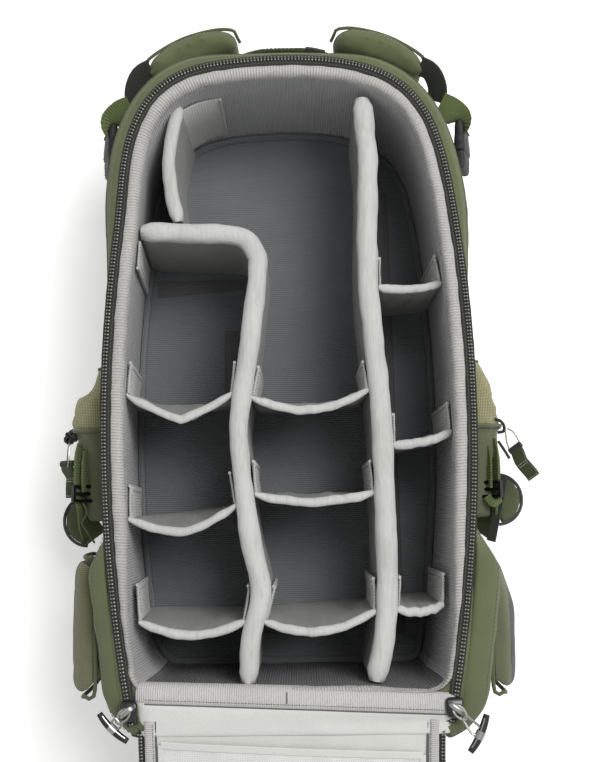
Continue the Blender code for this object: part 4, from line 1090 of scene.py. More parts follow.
# ---------------------------------------------------------------- dividers
def crest_profile(half, top, foot, crest=0.0130, bulge=1.06):
    """Padded wall section: soft sides, a pinch under the edge band, and a full rounded crest."""
    low = top - crest
    shape = []
    for t in (0.0, 0.25, 0.5, 0.75, 1.0):
        shape.append((half * (0.90 + 0.08 * math.sin(math.pi * t)), foot + (low - 0.0022 - foot) * t))
    shape += [(half * 0.90, low - 0.0006), (half * bulge, low + 0.0022),
              (half * (bulge + 0.02), low + crest * 0.45)]
    for k in range(1, 6):
        angle = math.pi / 2 * k / 6
        shape.append((half * (bulge + 0.02) * math.cos(angle), low + crest * (0.45 + 0.55 * math.sin(angle))))
    return shape + [(0.0, top)] + [(-off, z) for off, z in shape[::-1]]


def on_crest(shape):
    """Picks the edge band's material on the crest of a crest_profile section, and the face's below it."""
    return lambda i, j: 1 if 6 <= j <= len(shape) - 8 else 0


def padded_wall(name, path, half, top, node, crest=0.0130):
    """Long divider: a padded wall along a path on the floor, a little thinner at both ends."""
    line = even([p.to_2d() for p in smooth_path([(*q, 0.0) for q in path], 6)], 0.004)
    shape = crest_profile(half, top, DIVIDER_FOOT, crest)
    ends = len(line)

    def profile(i):
        squeeze = min(1.0, 0.72 + 0.28 * min(i, ends - 1 - i) / 2)
        drop = (1.0 - squeeze) * 0.004
        return [(off * squeeze, z - drop if z > DIVIDER_FOOT + 0.02 else z) for off, z in shape]
    wall = swept(name, line, profile, [M["face"], M["band"]], replaces=node, slot="divider_grey",
                 band=on_crest(shape), sharp=80.0)
    wrinkle(wall, 0.0011, 0.022, seed=len(name) * 0.61,
            weight=lambda co: 1.0 if co.z > DIVIDER_FOOT + 0.004 else 0.0)
    lean_out(wall)


def long_dividers():
    """The left, centre and corner dividers. The left one turns at its head end and runs to the left wall."""
    corner_y = 0.1215
    across = ((0.0022 - inner_x(corner_y), corner_y), (-0.0850, 0.1195), (-0.0500, 0.1180), (-0.0345, 0.1130))
    padded_wall("divider_left_pad", across + LEFT_RUN, LONG_HALF, DIVIDER_TOP, "divider_left")
    head = (0.0660, inner_head_y(0.0660 + CENTRE_HALF) - 0.0030)
    padded_wall("divider_centre_pad", (head,) + CENTRE_RUN, CENTRE_HALF, DIVIDER_TOP, "divider_centre")
    corner = ((-0.0935, 0.2350), (-0.0985, 0.2140), (-0.1015, 0.1930), (-0.1015, 0.1760), (-0.0990, 0.1560),
              (-0.0935, 0.1310))
    padded_wall("divider_corner_pad", corner, CORNER_HALF, CORNER_TOP, "divider_corner", crest=0.008)


TAB_FOOT, TAB_SLOPE, TAB_THICK = 0.066, 0.004, 0.0021


def tab(name, wall, y_from, y_to, top):
    """Hook-and-loop end tab of a divider, flat on the wall x = wall(y), with a bound and stitched border."""
    low, slope, thick = TAB_FOOT, TAB_SLOPE, TAB_THICK
    steps = 8
    rows = []
    sign = wall(None)
    for k in range(steps + 1):
        t = k / steps
        y = y_from + (y_to - y_from) * t
        x = wall(y) + sign * 0.0006
        high = top - slope * t
        curl = 0.0012 * t * t
        middle = (low + high) / 2
        shape = ((0.0, low), (thick + curl, low), (thick + curl + 0.0004, middle),
                 (thick + curl, high - 0.0012), (thick * 0.5 + curl, high), (curl, high - 0.0010),
                 (0.0, middle))
        rows.append([Vector((x + sign * off, y, z)) for off, z in shape])
    piece = grid(name, rows, M["tab"], slot="divider_grey", sharp=70.0)
    wrinkle(piece, 0.0005, 0.010, seed=y_from * 30)
    lean_out(piece)
    y_seam = y_from + (y_to - y_from) * 0.86
    x = wall(y_seam) + sign * (thick + 0.0019)
    upright = [Vector((x, y_seam, low + 0.004)), Vector((x, y_seam, top - slope - 0.003))]
    border = []
    for k in range(1, 6):
        y = y_from + (y_to - y_from) * k / 6
        z = top - slope * (y - y_from) / (y_to - y_from) - 0.0035
        border.append(Vector((wall(y) + sign * (thick + 0.0016), y, z)))
    lines = [upright, border]
    lean_out(stitches(name + "_stitch", lines, [Vector((sign, 0, 0))] * 2, M["thread_dark"], pitch=0.0026,
                      length=0.0019, width=0.0005))
    edge = [Vector((wall(y_to) + sign * (thick * 0.6 + 0.0014), y_to, low + (top - slope - low) * k / 8))
            for k in range(9)]
    lean_out(tube(name + "_edge", edge, 0.0014, M["piping"], sides=7))


def on_wall(sign):
    """x of the liner wall; wall(None) gives the way into the bay."""
    return lambda y: -sign if y is None else sign * (inner_x(y) - 0.0004)


def on_run(run, sign, half):
    """x of the face of a long divider; called with None it gives the way into the bay."""
    return lambda y: sign if y is None else run_x(run, y) + sign * half * 1.02


def short_dividers():
    """Nine sagging dividers between the long ones and the walls, with a tab at each end."""
    left_wall, right_wall = on_wall(-1.0), on_wall(1.0)
    west, east = on_run(LEFT_RUN, -1.0, LONG_HALF), on_run(LEFT_RUN, 1.0, LONG_HALF)
    mid_west, mid_east = on_run(CENTRE_RUN, -1.0, CENTRE_HALF), on_run(CENTRE_RUN, 1.0, CENTRE_HALF)
    left, middle, right = (left_wall, west), (east, mid_west), (mid_east, right_wall)
    # number, column, y at its two ends, sag, how pointed the sag is (1 is round), length of the tabs
    table = (
        (1, left, -0.0189, -0.0182, 0.0215, 1.7, 0.028),
        (2, left, -0.1225, -0.1112, 0.0165, 1.3, 0.028),
        (3, left, -0.2056, -0.2059, 0.0115, 1.0, 0.030),
        (4, middle, -0.0217, -0.0169, 0.0138, 1.0, 0.026),
        (5, middle, -0.1032, -0.1027, 0.0066, 1.0, 0.028),
        (6, middle, -0.2061, -0.1991, 0.0127, 1.1, 0.028),
        (7, right, 0.0708, 0.0737, 0.0030, 1.0, 0.026),
        (8, right, -0.0632, -0.0529, 0.0030, 1.0, 0.026),
        (9, right, -0.1977, -0.1942, 0.0040, 1.0, 0.026),
    )
    foot, top = DIVIDER_FOOT, SHORT_TOP

    def faces_only(co):
        return smooth_step(co.z, 0.06, 0.11) * (1.0 - 0.8 * smooth_step(co.z, top - 0.012, top - 0.006))
    shape = crest_profile(SHORT_HALF, top, foot, 0.0058, 1.12)
    for number, (start, end), y0, y1, sag, point, reach in table:
        x0, x1 = start(y0) + 0.0004, end(y1) - 0.0004
        rows = []
        for k in range(SHORT_STEPS + 1):
            t = k / SHORT_STEPS
            x, y = x0 + (x1 - x0) * t, y0 + (y1 - y0) * t
            bow = sag * math.sin(math.pi * t)
            if point > 1.2:
                bow = sag * (1.0 - abs(2 * t - 1) ** (2.1 / point))
            pucker = noise.noise(Vector((t * 9.0, number * 3.3, 0.0)))
            squeeze = 0.62 + 0.38 * min(1.0, min(k, SHORT_STEPS - k) / 2.5)
            row = []
            for off, z in shape:
                r = (z - foot) / (top - foot)
                lean = bow * r ** 1.5 + 0.0011 * pucker * r
                dip = 0.0030 * math.sin(math.pi * t) * r * (sag / 0.02)
                row.append(Vector((x, y + off * squeeze - lean, z - dip)))
            rows.append(row)
        name = "divider_short_%d" % number
        piece = grid(name + "_pad", rows, [M["face"], M["band"]], replaces=name, slot="divider_grey",
                     band=on_crest(shape), sharp=80.0)
        wrinkle(piece, 0.0030, 0.013, seed=number * 1.9, weight=faces_only)
        lean_out(piece)
        tab(name + "_tab_a", start, y0 + 0.002, y0 + reach, top - 0.001)
        tab(name + "_tab_b", end, y1 + 0.002, y1 + reach * 0.95, top - 0.001)
    tab("divider_left_tab", on_wall(-1.0), 0.1130, 0.0905, DIVIDER_TOP - 0.006)


def floor_patch(name, corners):
    """Hook strip sewn flat on the floor."""
    a, b, c, d = [Vector((x, y, 0.0)) for x, y in corners]
    rows = []
    for i in range(9):
        s = i / 8
        left, right = a.lerp(b, s), d.lerp(c, s)
        row = []
        for j in range(6):
            t = j / 5
            lift = 0.0010 + 0.0004 * noise.noise(Vector((s * 5, t * 3, left.x * 40)))
            if i in (0, 8) or j in (0, 5):
                lift = 0.0004
            row.append(left.lerp(right, t) + UP * (FLOOR_TOP + lift))
        rows.append(row)
    grid(name, rows, M["patch"], wrap_cols=False, slot="liner_grey")
    mid = (a + b + c + d) / 4
    loop = [p.lerp(mid, 0.10) + UP * (FLOOR_TOP + 0.0014) for p in (a, b, c, d, a)]
    stitches(name + "_stitch", [loop], [UP], M["thread_dark"], pitch=0.0030)


def head_tab():
    """End tab of the corner divider, flat on the head wall."""
    rows = []
    low, thick = 0.070, 0.0022
    for k in range(11):
        t = k / 10
        x = -0.0920 + 0.0340 * t
        y = inner_head_y(-x) + 0.0016
        top = 0.1650 - 0.0120 * t
        middle = (low + top) / 2
        shape = ((0.0, low), (thick, low), (thick * 1.2, middle), (thick, top - 0.0012), (thick * 0.5, top),
                 (0.0, top - 0.0010), (0.0, middle))
        rows.append([Vector((x, y - off, z)) for off, z in shape])
    piece = grid("divider_corner_tab", rows, M["tab"], slot="divider_grey", sharp=70.0)
    wrinkle(piece, 0.0005, 0.010, seed=5.0)
    edge = [Vector((rows[-1][1].x, rows[-1][1].y, low + (rows[-1][4].z - low) * k / 8)) for k in range(9)]
    tube("divider_corner_tab_edge", edge, 0.0014, M["piping"], sides=7)


def make_dividers():
    """All dividers, and the hook strips on the floor that they are pressed to."""
    long_dividers()
    head_tab()
    short_dividers()
    floor_patch("floor_patch_cross", ((-0.1265, 0.0880), (-0.0420, 0.0960), (-0.0420, 0.1060),
                                      (-0.1265, 0.1040)))
    floor_patch("floor_patch_corner", ((-0.0620, -0.0100), (-0.0620, 0.0560), (-0.0410, 0.0560),
                                       (-0.0440, -0.0100)))
    floor_patch("floor_patch_right", ((0.0900, -0.2300), (0.0845, 0.1900), (0.0960, 0.1900),
                                      (0.1040, -0.2300)))


# ---------------------------------------------------------------- head end
def rounded(rows, corner=0.005, count=5, steps=0):
    """Rounded rectangles in the XZ plane from rows of (y, x0, x1, z0, z1), smoothed in steps if asked."""
    if steps:
        rows = smooth_path(rows, steps)
    out = []
    for y, x0, x1, z0, z1 in rows:
        x0, x1 = min(x0, x1), max(x0, x1)
        r = min(corner, (x1 - x0) * 0.49, (z1 - z0) * 0.49)
        row = []
        for cx, cz, turn in ((x1 - r, z1 - r, 0), (x0 + r, z1 - r, 90), (x0 + r, z0 + r, 180),
                             (x1 - r, z0 + r, 270)):
            for k in range(count):
                a = math.radians(turn + 90 * k / (count - 1))
                row.append(Vector((cx + r * math.cos(a), y, cz + r * math.sin(a))))
        out.append(row)
    return out


def placed(rows, matrix):
    """Rows of points moved by a matrix."""
    return [[matrix @ p for p in row] for row in rows]


def box_part(low, high, bevel=0.001, matrix=None):
    """Verts and faces of a box with cut edges, for gather()."""
    x0, y0, z0 = low
    x1, y1, z1 = high
    b = min(bevel, (x1 - x0) * 0.45, (y1 - y0) * 0.45, (z1 - z0) * 0.45)
    verts = []
    for z, cut in ((z0, b), (z0 + b, 0.0), (z1 - b, 0.0), (z1, b)):
        near, far = cut, b + cut
        for x, y in ((x0 + far, y0 + near), (x1 - far, y0 + near), (x1 - near, y0 + far),
                     (x1 - near, y1 - far), (x1 - far, y1 - near), (x0 + far, y1 - near),
                     (x0 + near, y1 - far), (x0 + near, y0 + far)):
            p = Vector((x, y, z))
            verts.append(matrix @ p if matrix else p)
    faces = [tuple(range(8)), tuple(range(24, 32))]
    for base in (0, 8, 16):
        for k in range(8):
            j = (k + 1) % 8
            faces.append((base + k, base + j, base + 8 + j, base + 8 + k))
    return verts, faces


BOLSTER_SPINE = ((0.0410, 0.2925), (0.0580, 0.2945), (0.0840, 0.2880), (0.1060, 0.2760), (0.1200, 0.2640))


HANDLE = ((-0.0350, 0.2828, 0.152), (-0.020, 0.2848, 0.155), (0.0, 0.2854, 0.155), (0.020, 0.2848, 0.155),
          (0.0350, 0.2828, 0.152))


def make_head_end():
    """The two padded bolsters with their piping and stitching, and the grab handle between them."""
    for name, sign in SIDES.items():
        swollen("bolster_" + name, "head_bolster_" + name, M["nylon_top"], voxel=0.0040, cap=0.0045,
                pressure=5.0, shrink=0.0010, wrinkles=0.0011, size=0.014)
        spine = smooth_path([(sign * x, y, 0.147) for x, y in BOLSTER_SPINE], 6)
        seam, stitch = [], []
        for i, p in enumerate(spine):
            along = spine[min(i + 1, len(spine) - 1)] - spine[max(i - 1, 0)]
            out = Vector((along.y, -along.x, 0.0)).normalized() * -sign
            fade = min(1.0, 0.45 + 0.25 * min(i, len(spine) - 1 - i))
            seam.append(p + out * 0.0096 * fade + UP * 0.0190 * fade)
            stitch.append(p + out * 0.0050 * fade + UP * (0.0262 * fade + 0.0010))
        tube("bolster_piping_" + name, seam, 0.0015, M["base"], sides=7)
        stitches("bolster_stitch_" + name, [stitch], [UP], M["thread_green"], pitch=0.0034)
    path = smooth_path(HANDLE, 6)
    web = webbing("handle_web", path, UP, 0.021, 0.0030, M["webbing_dark"], replaces="grab_handle",
                  slot="green_webbing")
    wrinkle(web, 0.0006, 0.020, 8.0)
    lines = [[p + UP * dz + Vector((0.0, 0.0013, 0.0)) for p in path] for dz in (0.0100, -0.0080)]
    stitches("handle_stitch", lines, [Vector((0, 1, 0))] * 2, M["thread_green"], pitch=0.0036)
    keep = [p + Vector((0.0, 0.0006, 0.0)) for p in path if 0.0140 < p.x < 0.0330]
    webbing("handle_keeper", keep, UP, 0.0225, 0.0048, M["tape"])


def buckle_place(sign):
    """Where a side buckle sits: on the flank, tilted with it."""
    tilt = Matrix.Rotation(-sign * math.radians(19.0), 4, "Y")
    return Matrix.Translation((sign * 0.1560, 0.0, 0.142)) @ tilt


BUCKLE_WEB = ((0.1340, 0.2330, 0.166), (0.1430, 0.2300, 0.163), (0.1520, 0.2250, 0.155),
              (0.1570, 0.2190, 0.147), (0.1580, 0.2150, 0.143))
BOLSTER_STRAP = ((0.1180, 0.2700, 0.163), (0.1275, 0.2640, 0.163), (0.1335, 0.2540, 0.156),
                 (0.1345, 0.2440, 0.146))


def across(out, near, far):
    """The two x of a raised part that reaches from near to far, in shares of out, lower one first."""
    return sorted((out * near, out * far))


def make_side_buckles():
    """Side-release buckles: shell, fork, prongs and grips, their webbing, and the bolster strap."""
    for name, sign in SIDES.items():
        place = buckle_place(sign)
        rows = [(0.1958, -0.0040, 0.0040, -0.0150, 0.0150), (0.1975, -0.0047, 0.0047, -0.0158, 0.0158),
                (0.2050, -0.0048, 0.0048, -0.0158, 0.0158), (0.2120, -0.0044, 0.0044, -0.0140, 0.0140),
                (0.2190, -0.0040, 0.0040, -0.0150, 0.0150), (0.2230, -0.0030, 0.0030, -0.0146, 0.0146)]
        grid("buckle_shell_" + name, placed(rounded(rows, 0.0034, steps=3), place), M["black"],
             replaces="buckle_female_" + name, slot="black_plastic", sharp=50.0)
        parts = []
        out = sign * 0.0044
        for y0, y1, z0, z1 in ((0.2005, 0.2090, -0.0045, 0.0045), (0.2165, 0.2180, -0.0125, 0.0125),
                               (0.1985, 0.1996, -0.0135, 0.0135)):
            x0, x1 = across(out, 0.9, 1.16)
            parts.append(box_part((x0, y0, z0), (x1, y1, z1), 0.0003, place))
        gather("buckle_ribs_" + name, parts, M["black"], slot="black_plastic")
        parts = [box_part((-0.0030, 0.2010, z - 0.0009), (0.0030, 0.2095, z + 0.0009), 0.0006, place)
                 for z in (-0.0158, 0.0158)]
        gather("buckle_prongs_" + name, parts, M["black"], body="side_buckle_" + name, slot="black_plastic")
        rows = [(0.1800, -0.0026, 0.0026, -0.0130, 0.0130), (0.1818, -0.0036, 0.0036, -0.0138, 0.0138),
                (0.1860, -0.0040, 0.0040, -0.0132, 0.0132), (0.1910, -0.0043, 0.0043, -0.0142, 0.0142),
                (0.1950, -0.0040, 0.0040, -0.0148, 0.0148)]
        grid("buckle_fork_" + name, placed(rounded(rows, 0.0030, steps=3), place), M["black"],
             body="side_buckle_" + name, replaces="buckle_male_" + name, slot="black_plastic", sharp=50.0)
        parts = []
        for y in (0.1828, 0.1856, 0.1884):
            x0, x1 = across(out, 0.5, 0.98)
            parts.append(box_part((x0, y, -0.0105), (x1, y + 0.0013, 0.0105), 0.0004, place))
        gather("buckle_grips_" + name, parts, M["black"], body="side_buckle_" + name, slot="black_plastic")
        tilt = place.to_3x3() @ UP
        path = smooth_path(mirrored(BUCKLE_WEB, sign), 4)
        root = Vector((sign * 0.10, 0.80, 0.60))
        wides = [root.lerp(tilt, smooth_step(k, 3, len(path) - 2)) for k in range(len(path))]
        web = webbing("buckle_web_" + name, path, wides, 0.0225, 0.0018, M["webbing"], slot="green_webbing")
        wrinkle(web, 0.0005, 0.012, 4.0)
        loop = smooth_path(mirrored(BOLSTER_STRAP, sign), 4)
        webbing("bolster_strap_" + name, loop, (sign * 0.35, 0.30, 0.75), 0.0200, 0.0022, M["tape"],
                slot="zipper_tape")


# ---------------------------------------------------------------- sides
# y, inner and outer reach from the middle, low and high edge of each section of a pocket
POCKET_ROWS = {
    "left": ((0.0120, 0.1460, 0.1680, 0.085, 0.128), (0.0000, 0.1460, 0.1700, 0.072, 0.136),
             (-0.0120, 0.1460, 0.1730, 0.058, 0.143), (-0.0200, 0.1460, 0.1850, 0.050, 0.146),
             (-0.0340, 0.1460, 0.1890, 0.046, 0.148), (-0.0460, 0.1460, 0.1875, 0.044, 0.148),
             (-0.0560, 0.1460, 0.1830, 0.044, 0.147), (-0.0760, 0.1460, 0.1805, 0.044, 0.145),
             (-0.1050, 0.1460, 0.1785, 0.046, 0.143), (-0.1240, 0.1460, 0.1740, 0.052, 0.136)),
    "right": ((0.0140, 0.1460, 0.1650, 0.080, 0.132), (0.0040, 0.1460, 0.1705, 0.064, 0.140),
              (-0.0100, 0.1460, 0.1750, 0.052, 0.145), (-0.0280, 0.1460, 0.1785, 0.046, 0.147),
              (-0.0440, 0.1460, 0.1815, 0.044, 0.148), (-0.0520, 0.1460, 0.1805, 0.044, 0.147),
              (-0.0680, 0.1460, 0.1790, 0.044, 0.146), (-0.0860, 0.1460, 0.1775, 0.044, 0.144),
              (-0.1050, 0.1460, 0.1765, 0.046, 0.142), (-0.1240, 0.1460, 0.1725, 0.052, 0.136)),
}
HEM_Y = {"left": -0.0455, "right": -0.0440}


def make_side_pockets():
    """Stretch side pockets: mesh at the head end, nylon below the hem."""
    for name, sign in SIDES.items():
        rows = smooth_path(POCKET_ROWS[name], 5)
        flip = [(y, sign * a, sign * b, z0, z1) for y, a, b, z0, z1 in rows]
        skin = rounded(flip, 0.026, count=9)
        stay = sum(1 for row in flip if row[0] > HEM_Y[name])
        pocket = grid("pocket_cloth_" + name, skin, [M["khaki"], M["nylon"]], replaces="side_pocket_" + name,
                      slot="olive_mesh", band=lambda i, j: 0 if i < stay else 1, sharp=70.0)
        subdivide(pocket)
        baked(pocket)
        wrinkle(pocket, 0.0022, 0.011, 2.6 + sign, lambda co: smooth_step(abs(co.x), 0.166, 0.174))
        flat_map(pocket)
        hem = skin[stay]
        loop = []
        for p in hem:
            out, rise = 0.0008 if abs(p.x) > 0.170 else 0.0, 0.0006 if p.z > 0.1 else 0.0
            loop.append(p + Vector((sign * out, 0.0, rise)))
        edge = tube("pocket_hem_" + name, even(loop, 0.004, closed=True), 0.0022, M["nylon"], sides=7,
                    closed=True)
        wrinkle(edge, 0.0014, 0.006, 1.0)
        mouth = [p.copy() for p in skin[1]]
        tube("pocket_rim_" + name, even(mouth, 0.004, closed=True), 0.0016, M["webbing"], sides=7,
             closed=True)


LASH_X = {"left": 0.1760, "right": 0.1712}
# offset from LASH_X, y and z along the webbing
LASH_WEB = ((0.0020, -0.060, 0.134), (0.0030, -0.072, 0.1385), (0.0032, -0.086, 0.1395),
            (0.0026, -0.100, 0.1385), (0.0010, -0.114, 0.130), (0.0016, -0.128, 0.108),
            (0.0020, -0.138, 0.078))
LASH_FOLD = ((-0.0035, -0.066, 0.137), (-0.0030, -0.080, 0.1400), (-0.0035, -0.098, 0.1385))


def make_lashing():
    """Lash webbing on edge along the top of each pocket, its ladder lock, and the anchor of the wire hook."""
    for name, sign in SIDES.items():
        x = LASH_X[name]
        wide = (sign * 0.34, 0.0, 0.94)
        path = smooth_path([(sign * (x + off), y, z) for off, y, z in LASH_WEB], 4)
        web = webbing("lash_web_" + name, path, wide, 0.0210, 0.0022, M["webbing"],
                      replaces="lash_strap_" + name, slot="green_webbing")
        wrinkle(web, 0.0006, 0.012, 2.0)
        fold = smooth_path([(sign * (x + off), y, z) for off, y, z in LASH_FOLD], 5)
        second = webbing("lash_fold_" + name, fold, wide, 0.0200, 0.0022, M["webbing"], slot="green_webbing")
        wrinkle(second, 0.0006, 0.012, 5.0)
        tilt = Matrix.Rotation(-sign * math.radians(38), 4, "Y")
        turn = Matrix.Translation((sign * x, -0.1000, 0.1440)) @ tilt
        parts = []
        for y0, y1, h in ((-0.0075, -0.0045, 0.0026), (-0.0014, 0.0014, 0.0020), (0.0045, 0.0075, 0.0026)):
            parts.append(box_part((-0.0095, y0, -h), (0.0095, y1, h), 0.0013, turn))
        for x0, x1 in ((-0.0105, -0.0070), (0.0070, 0.0105)):
            parts.append(box_part((x0, -0.0075, -0.0028), (x1, 0.0075, 0.0028), 0.0014, turn))
        gather("ladder_lock_" + name, parts, M["black"], slot="black_plastic")
    turn = Matrix.Translation((-0.1890, -0.0510, 0.1340)) @ Matrix.Rotation(math.radians(-38), 4, "Z")
    parts = [box_part((-0.0042, -0.0068, -0.0055), (0.0040, 0.0068, 0.0055), 0.0024, turn),
             box_part((-0.0050, -0.0018, -0.0064), (0.0050, 0.0022, 0.0064), 0.0012, turn)]
    gather("hook_anchor_left", parts, M["black"], slot="black_plastic")
    loop = smooth_path([(0.1770, -0.0400, 0.140), (0.1815, -0.0415, 0.141), (0.1850, -0.0455, 0.139),
                        (0.1850, -0.0500, 0.136), (0.1800, -0.0510, 0.134)], 5)
    tube("hook_anchor_right", loop, 0.0014, M["tape"], sides=7)
    tail = smooth_path([(0.1790, -0.0590, 0.142), (0.1835, -0.0665, 0.143), (0.1885, -0.0735, 0.139)], 5)
    tube("lash_tail_right", tail, 0.0013, M["tape"], sides=7)
    tail = smooth_path([(-0.1770, -0.1060, 0.143), (-0.1735, -0.1160, 0.140), (-0.1790, -0.1250, 0.132),
                        (-0.1745, -0.1340, 0.126), (-0.1700, -0.1420, 0.122)], 6)
    tube("lash_tail_left", tail, 0.0009, M["webbing"], sides=6)
    tail = smooth_path([(0.1825, -0.0900, 0.141), (0.1800, -0.1040, 0.139), (0.1765, -0.1220, 0.134),
                        (0.1725, -0.1440, 0.128)], 5)
    webbing("wing_tensioner_right", tail, (0.9, 0.0, 0.4), 0.0080, 0.0016, M["tape"], slot="zipper_tape")
    tail = smooth_path([(0.1670, -0.1060, 0.146), (0.1730, -0.1120, 0.145), (0.1795, -0.1080, 0.143)], 5)
    webbing("lash_end_right", tail, (0.2, 1.0, 0.3), 0.0070, 0.0018, M["webbing"], slot="green_webbing")


HOOKS = {
    "right": ((0.1868, -0.0485), (0.1952, -0.0655), (0.1990, -0.0755), (0.2100, -0.0900)),
    "left": ((-0.1905, -0.0550), (-0.1915, -0.0750), (-0.1878, -0.0850), (-0.1872, -0.1030)),
}


def make_hooks():
    """Bent spring wire that hangs from the pocket, with a folded webbing tab sewn round its free end."""
    for name in SIDES:
        root, tip, middle, end = [Vector((x, y, 0.136)) for x, y in HOOKS[name]]
        body = "hook_" + name
        along = (tip - root).normalized()
        side = Vector((-along.y, along.x, 0.0)) * (0.0046 if name == "right" else 0.0016) + UP * (
            0.0020 if name == "right" else 0.0046)
        wire = smooth_path([root + side * 0.35, root + side * 0.9 + along * 0.004,
                            (root + tip) / 2 + side * 1.1, tip + side * 1.0 - along * 0.002,
                            tip + side * 0.4 + along * 0.002, tip - side * 0.4 + along * 0.002,
                            tip - side * 1.0 - along * 0.002, (root + tip) / 2 - side * 0.8,
                            root - side * 0.3 + along * 0.003, root - side * 0.1], 5)
        tube("hook_wire_" + name, wire, 0.0007, M["nickel"], sides=8, body=body, replaces="wire_hook_" + name,
             slot="steel")
        way = (end - middle).normalized()
        lift = Vector((1.0, 0.0, 0.35)) if name == "left" else Vector((-way.y, way.x, 0.0)) * 0.90 + UP * 0.42
        path = smooth_path([tip - along * 0.0010, tip + along * 0.003, middle, (middle + end) / 2, end], 5)
        tab_web = webbing("hook_tab_" + name, path, lift, 0.0118, 0.0040, M["webbing_dark"], body=body,
                          slot="green_webbing")
        wrinkle(tab_web, 0.0004, 0.008, 3.0)
        wide = (lift - way * lift.dot(way)).normalized()
        out = way.cross(wide).normalized()
        lines = []
        for at in (0.12, 0.24, 0.92):
            p = middle.lerp(end, at)
            for face in (0.0022, -0.0022):
                lines.append([p - wide * 0.0046 + out * face, p + wide * 0.0046 + out * face])
        stitches("hook_stitch_" + name, lines, [out] * len(lines), M["thread_light"], pitch=0.0018,
                 length=0.0014, width=0.0005, body=body)
        roll = [tip - along * 0.001 - wide * 0.0062, tip - along * 0.001 + wide * 0.0062]
        tube("hook_roll_" + name, roll, 0.0028, M["tape"], sides=9, body=body, slot="zipper_tape")


FLAP_RADIUS, FLAP_Z = 0.0222, 0.0935


def make_side_flaps():
    """Round padded tab near each hip wing, with piping round its free edge."""
    for name, sign in SIDES.items():
        body = "flap_" + name
        swollen("flap_pad_" + name, "side_flap_" + name, M["base"], voxel=0.0030, cap=0.0030, pressure=4.0,
                shrink=0.0004, body=body, wrinkles=0.0009, size=0.012)
        x, y = {"left": (0.1816, -0.123), "right": (0.1862, -0.108)}[name]
        rim = []
        for k in range(25):
            a = -math.pi / 2 + math.pi * k / 24
            reach, along = FLAP_RADIUS * 0.95 * math.cos(a), FLAP_RADIUS * math.sin(a)
            rim.append(Vector((sign * (x + reach), y + along, FLAP_Z)))
        tube("flap_piping_" + name, rim, 0.0015, M["spacer"], sides=7, body=body)


# x, z, and y at the head and base edges, down the wing
WING_EDGE = ((0.1640, 0.1660, -0.156, -0.262), (0.1720, 0.1655, -0.154, -0.264),
             (0.1760, 0.1500, -0.152, -0.266), (0.1775, 0.1000, -0.152, -0.266),
             (0.1775, 0.0600, -0.158, -0.262), (0.1765, 0.0380, -0.170, -0.254),
             (0.1760, 0.0320, -0.178, -0.248))
BELT_WEB = ((0.1755, -0.214, 0.0310), (0.1745, -0.214, 0.0120), (0.1650, -0.214, 0.0045),
            (0.1520, -0.214, 0.0040))


def wing_shift(name, y):
    """How far a hip wing is moved towards the body: evenly on the left, at the head end on the right."""
    if name == "left":
        return 0.0042
    return -0.0110 * (1.0 - smooth_step(-y, 0.150, 0.205))


def make_wings():
    """Padded hip wings folded down the sides, with piping, belt webbing and the belt's buckle."""
    for name, sign in SIDES.items():
        body = "wing_" + name
        pad = swollen("wing_pad_" + name, "hip_wing_" + name, M["wing_rib"] if name == "left" else M["nylon"],
                      voxel=0.0050, cap=0.0060, pressure=4.0, shrink=0.0010, body=body,
                      wrinkles=0.0014, size=0.026)
        for v in pad.data.vertices:
            v.co.x += wing_shift(name, v.co.y)
        if name == "right":
            pad.data.materials.append(M["spacer"])
            for poly in pad.data.polygons:
                if abs(poly.center.x) > 0.1805:
                    poly.material_index = 1
        top = (sign * WING_EDGE[0][0], -0.209, 0.167)
        path = [(sign * x, head, z) for x, z, head, base in WING_EDGE]
        path += [(sign * x, base, z) for x, z, head, base in WING_EDGE[::-1]]
        line = even(smooth_path([top] + path + [top], 4), 0.005)
        for p in line:
            p.x += wing_shift(name, p.y)
        tube("wing_piping_" + name, line, 0.0017, M["base"], sides=7, body=body)
        path = smooth_path(mirrored(BELT_WEB, sign), 5)
        webbing("belt_web_" + name, path, (0, 1, 0), 0.038, 0.0022, M["webbing_dark"], body=body,
                slot="green_webbing")
        x0, x1 = sign * 0.1265, sign * 0.1530
        rows = [(-0.236, x0, x1, 0.0012, 0.0108), (-0.232, x0, x1, 0.0008, 0.0120),
                (-0.214, x0, x1, 0.0008, 0.0120), (-0.196, x0, x1, 0.0008, 0.0120),
                (-0.192, x0, x1, 0.0012, 0.0108)]
        grid("belt_buckle_" + name, rounded(rows, 0.0034, steps=2), M["black"], body=body,
             replaces="hip_buckle_" + name, slot="black_plastic", sharp=50.0)


# ---------------------------------------------------------------- zipper sliders and pulls
SLIDER_Y, EYE_Z = -0.271, 0.1965


# distance from SLIDER_Y, half width and top of each section of the cap
CAP_ROWS = ((-0.0080, 0.0030, 0.1940), (-0.0070, 0.0052, 0.1952), (-0.0035, 0.0066, 0.1964),
            (0.0, 0.0070, 0.1968), (0.0035, 0.0072, 0.1966), (0.0065, 0.0064, 0.1954),
            (0.0076, 0.0040, 0.1940))
# distance along the bail and height, from the eye
BAIL = ((-0.0056, -0.0020), (-0.0050, 0.0012), (-0.0024, 0.0026), (0.0034, 0.0024), (0.0060, 0.0006),
        (0.0062, -0.0024))
# distance out from the eye and to the side, round one half of the ring
RING = ((-0.0004, 0.0028), (0.0040, 0.0036), (0.0085, 0.0026), (0.0110, 0.0012))


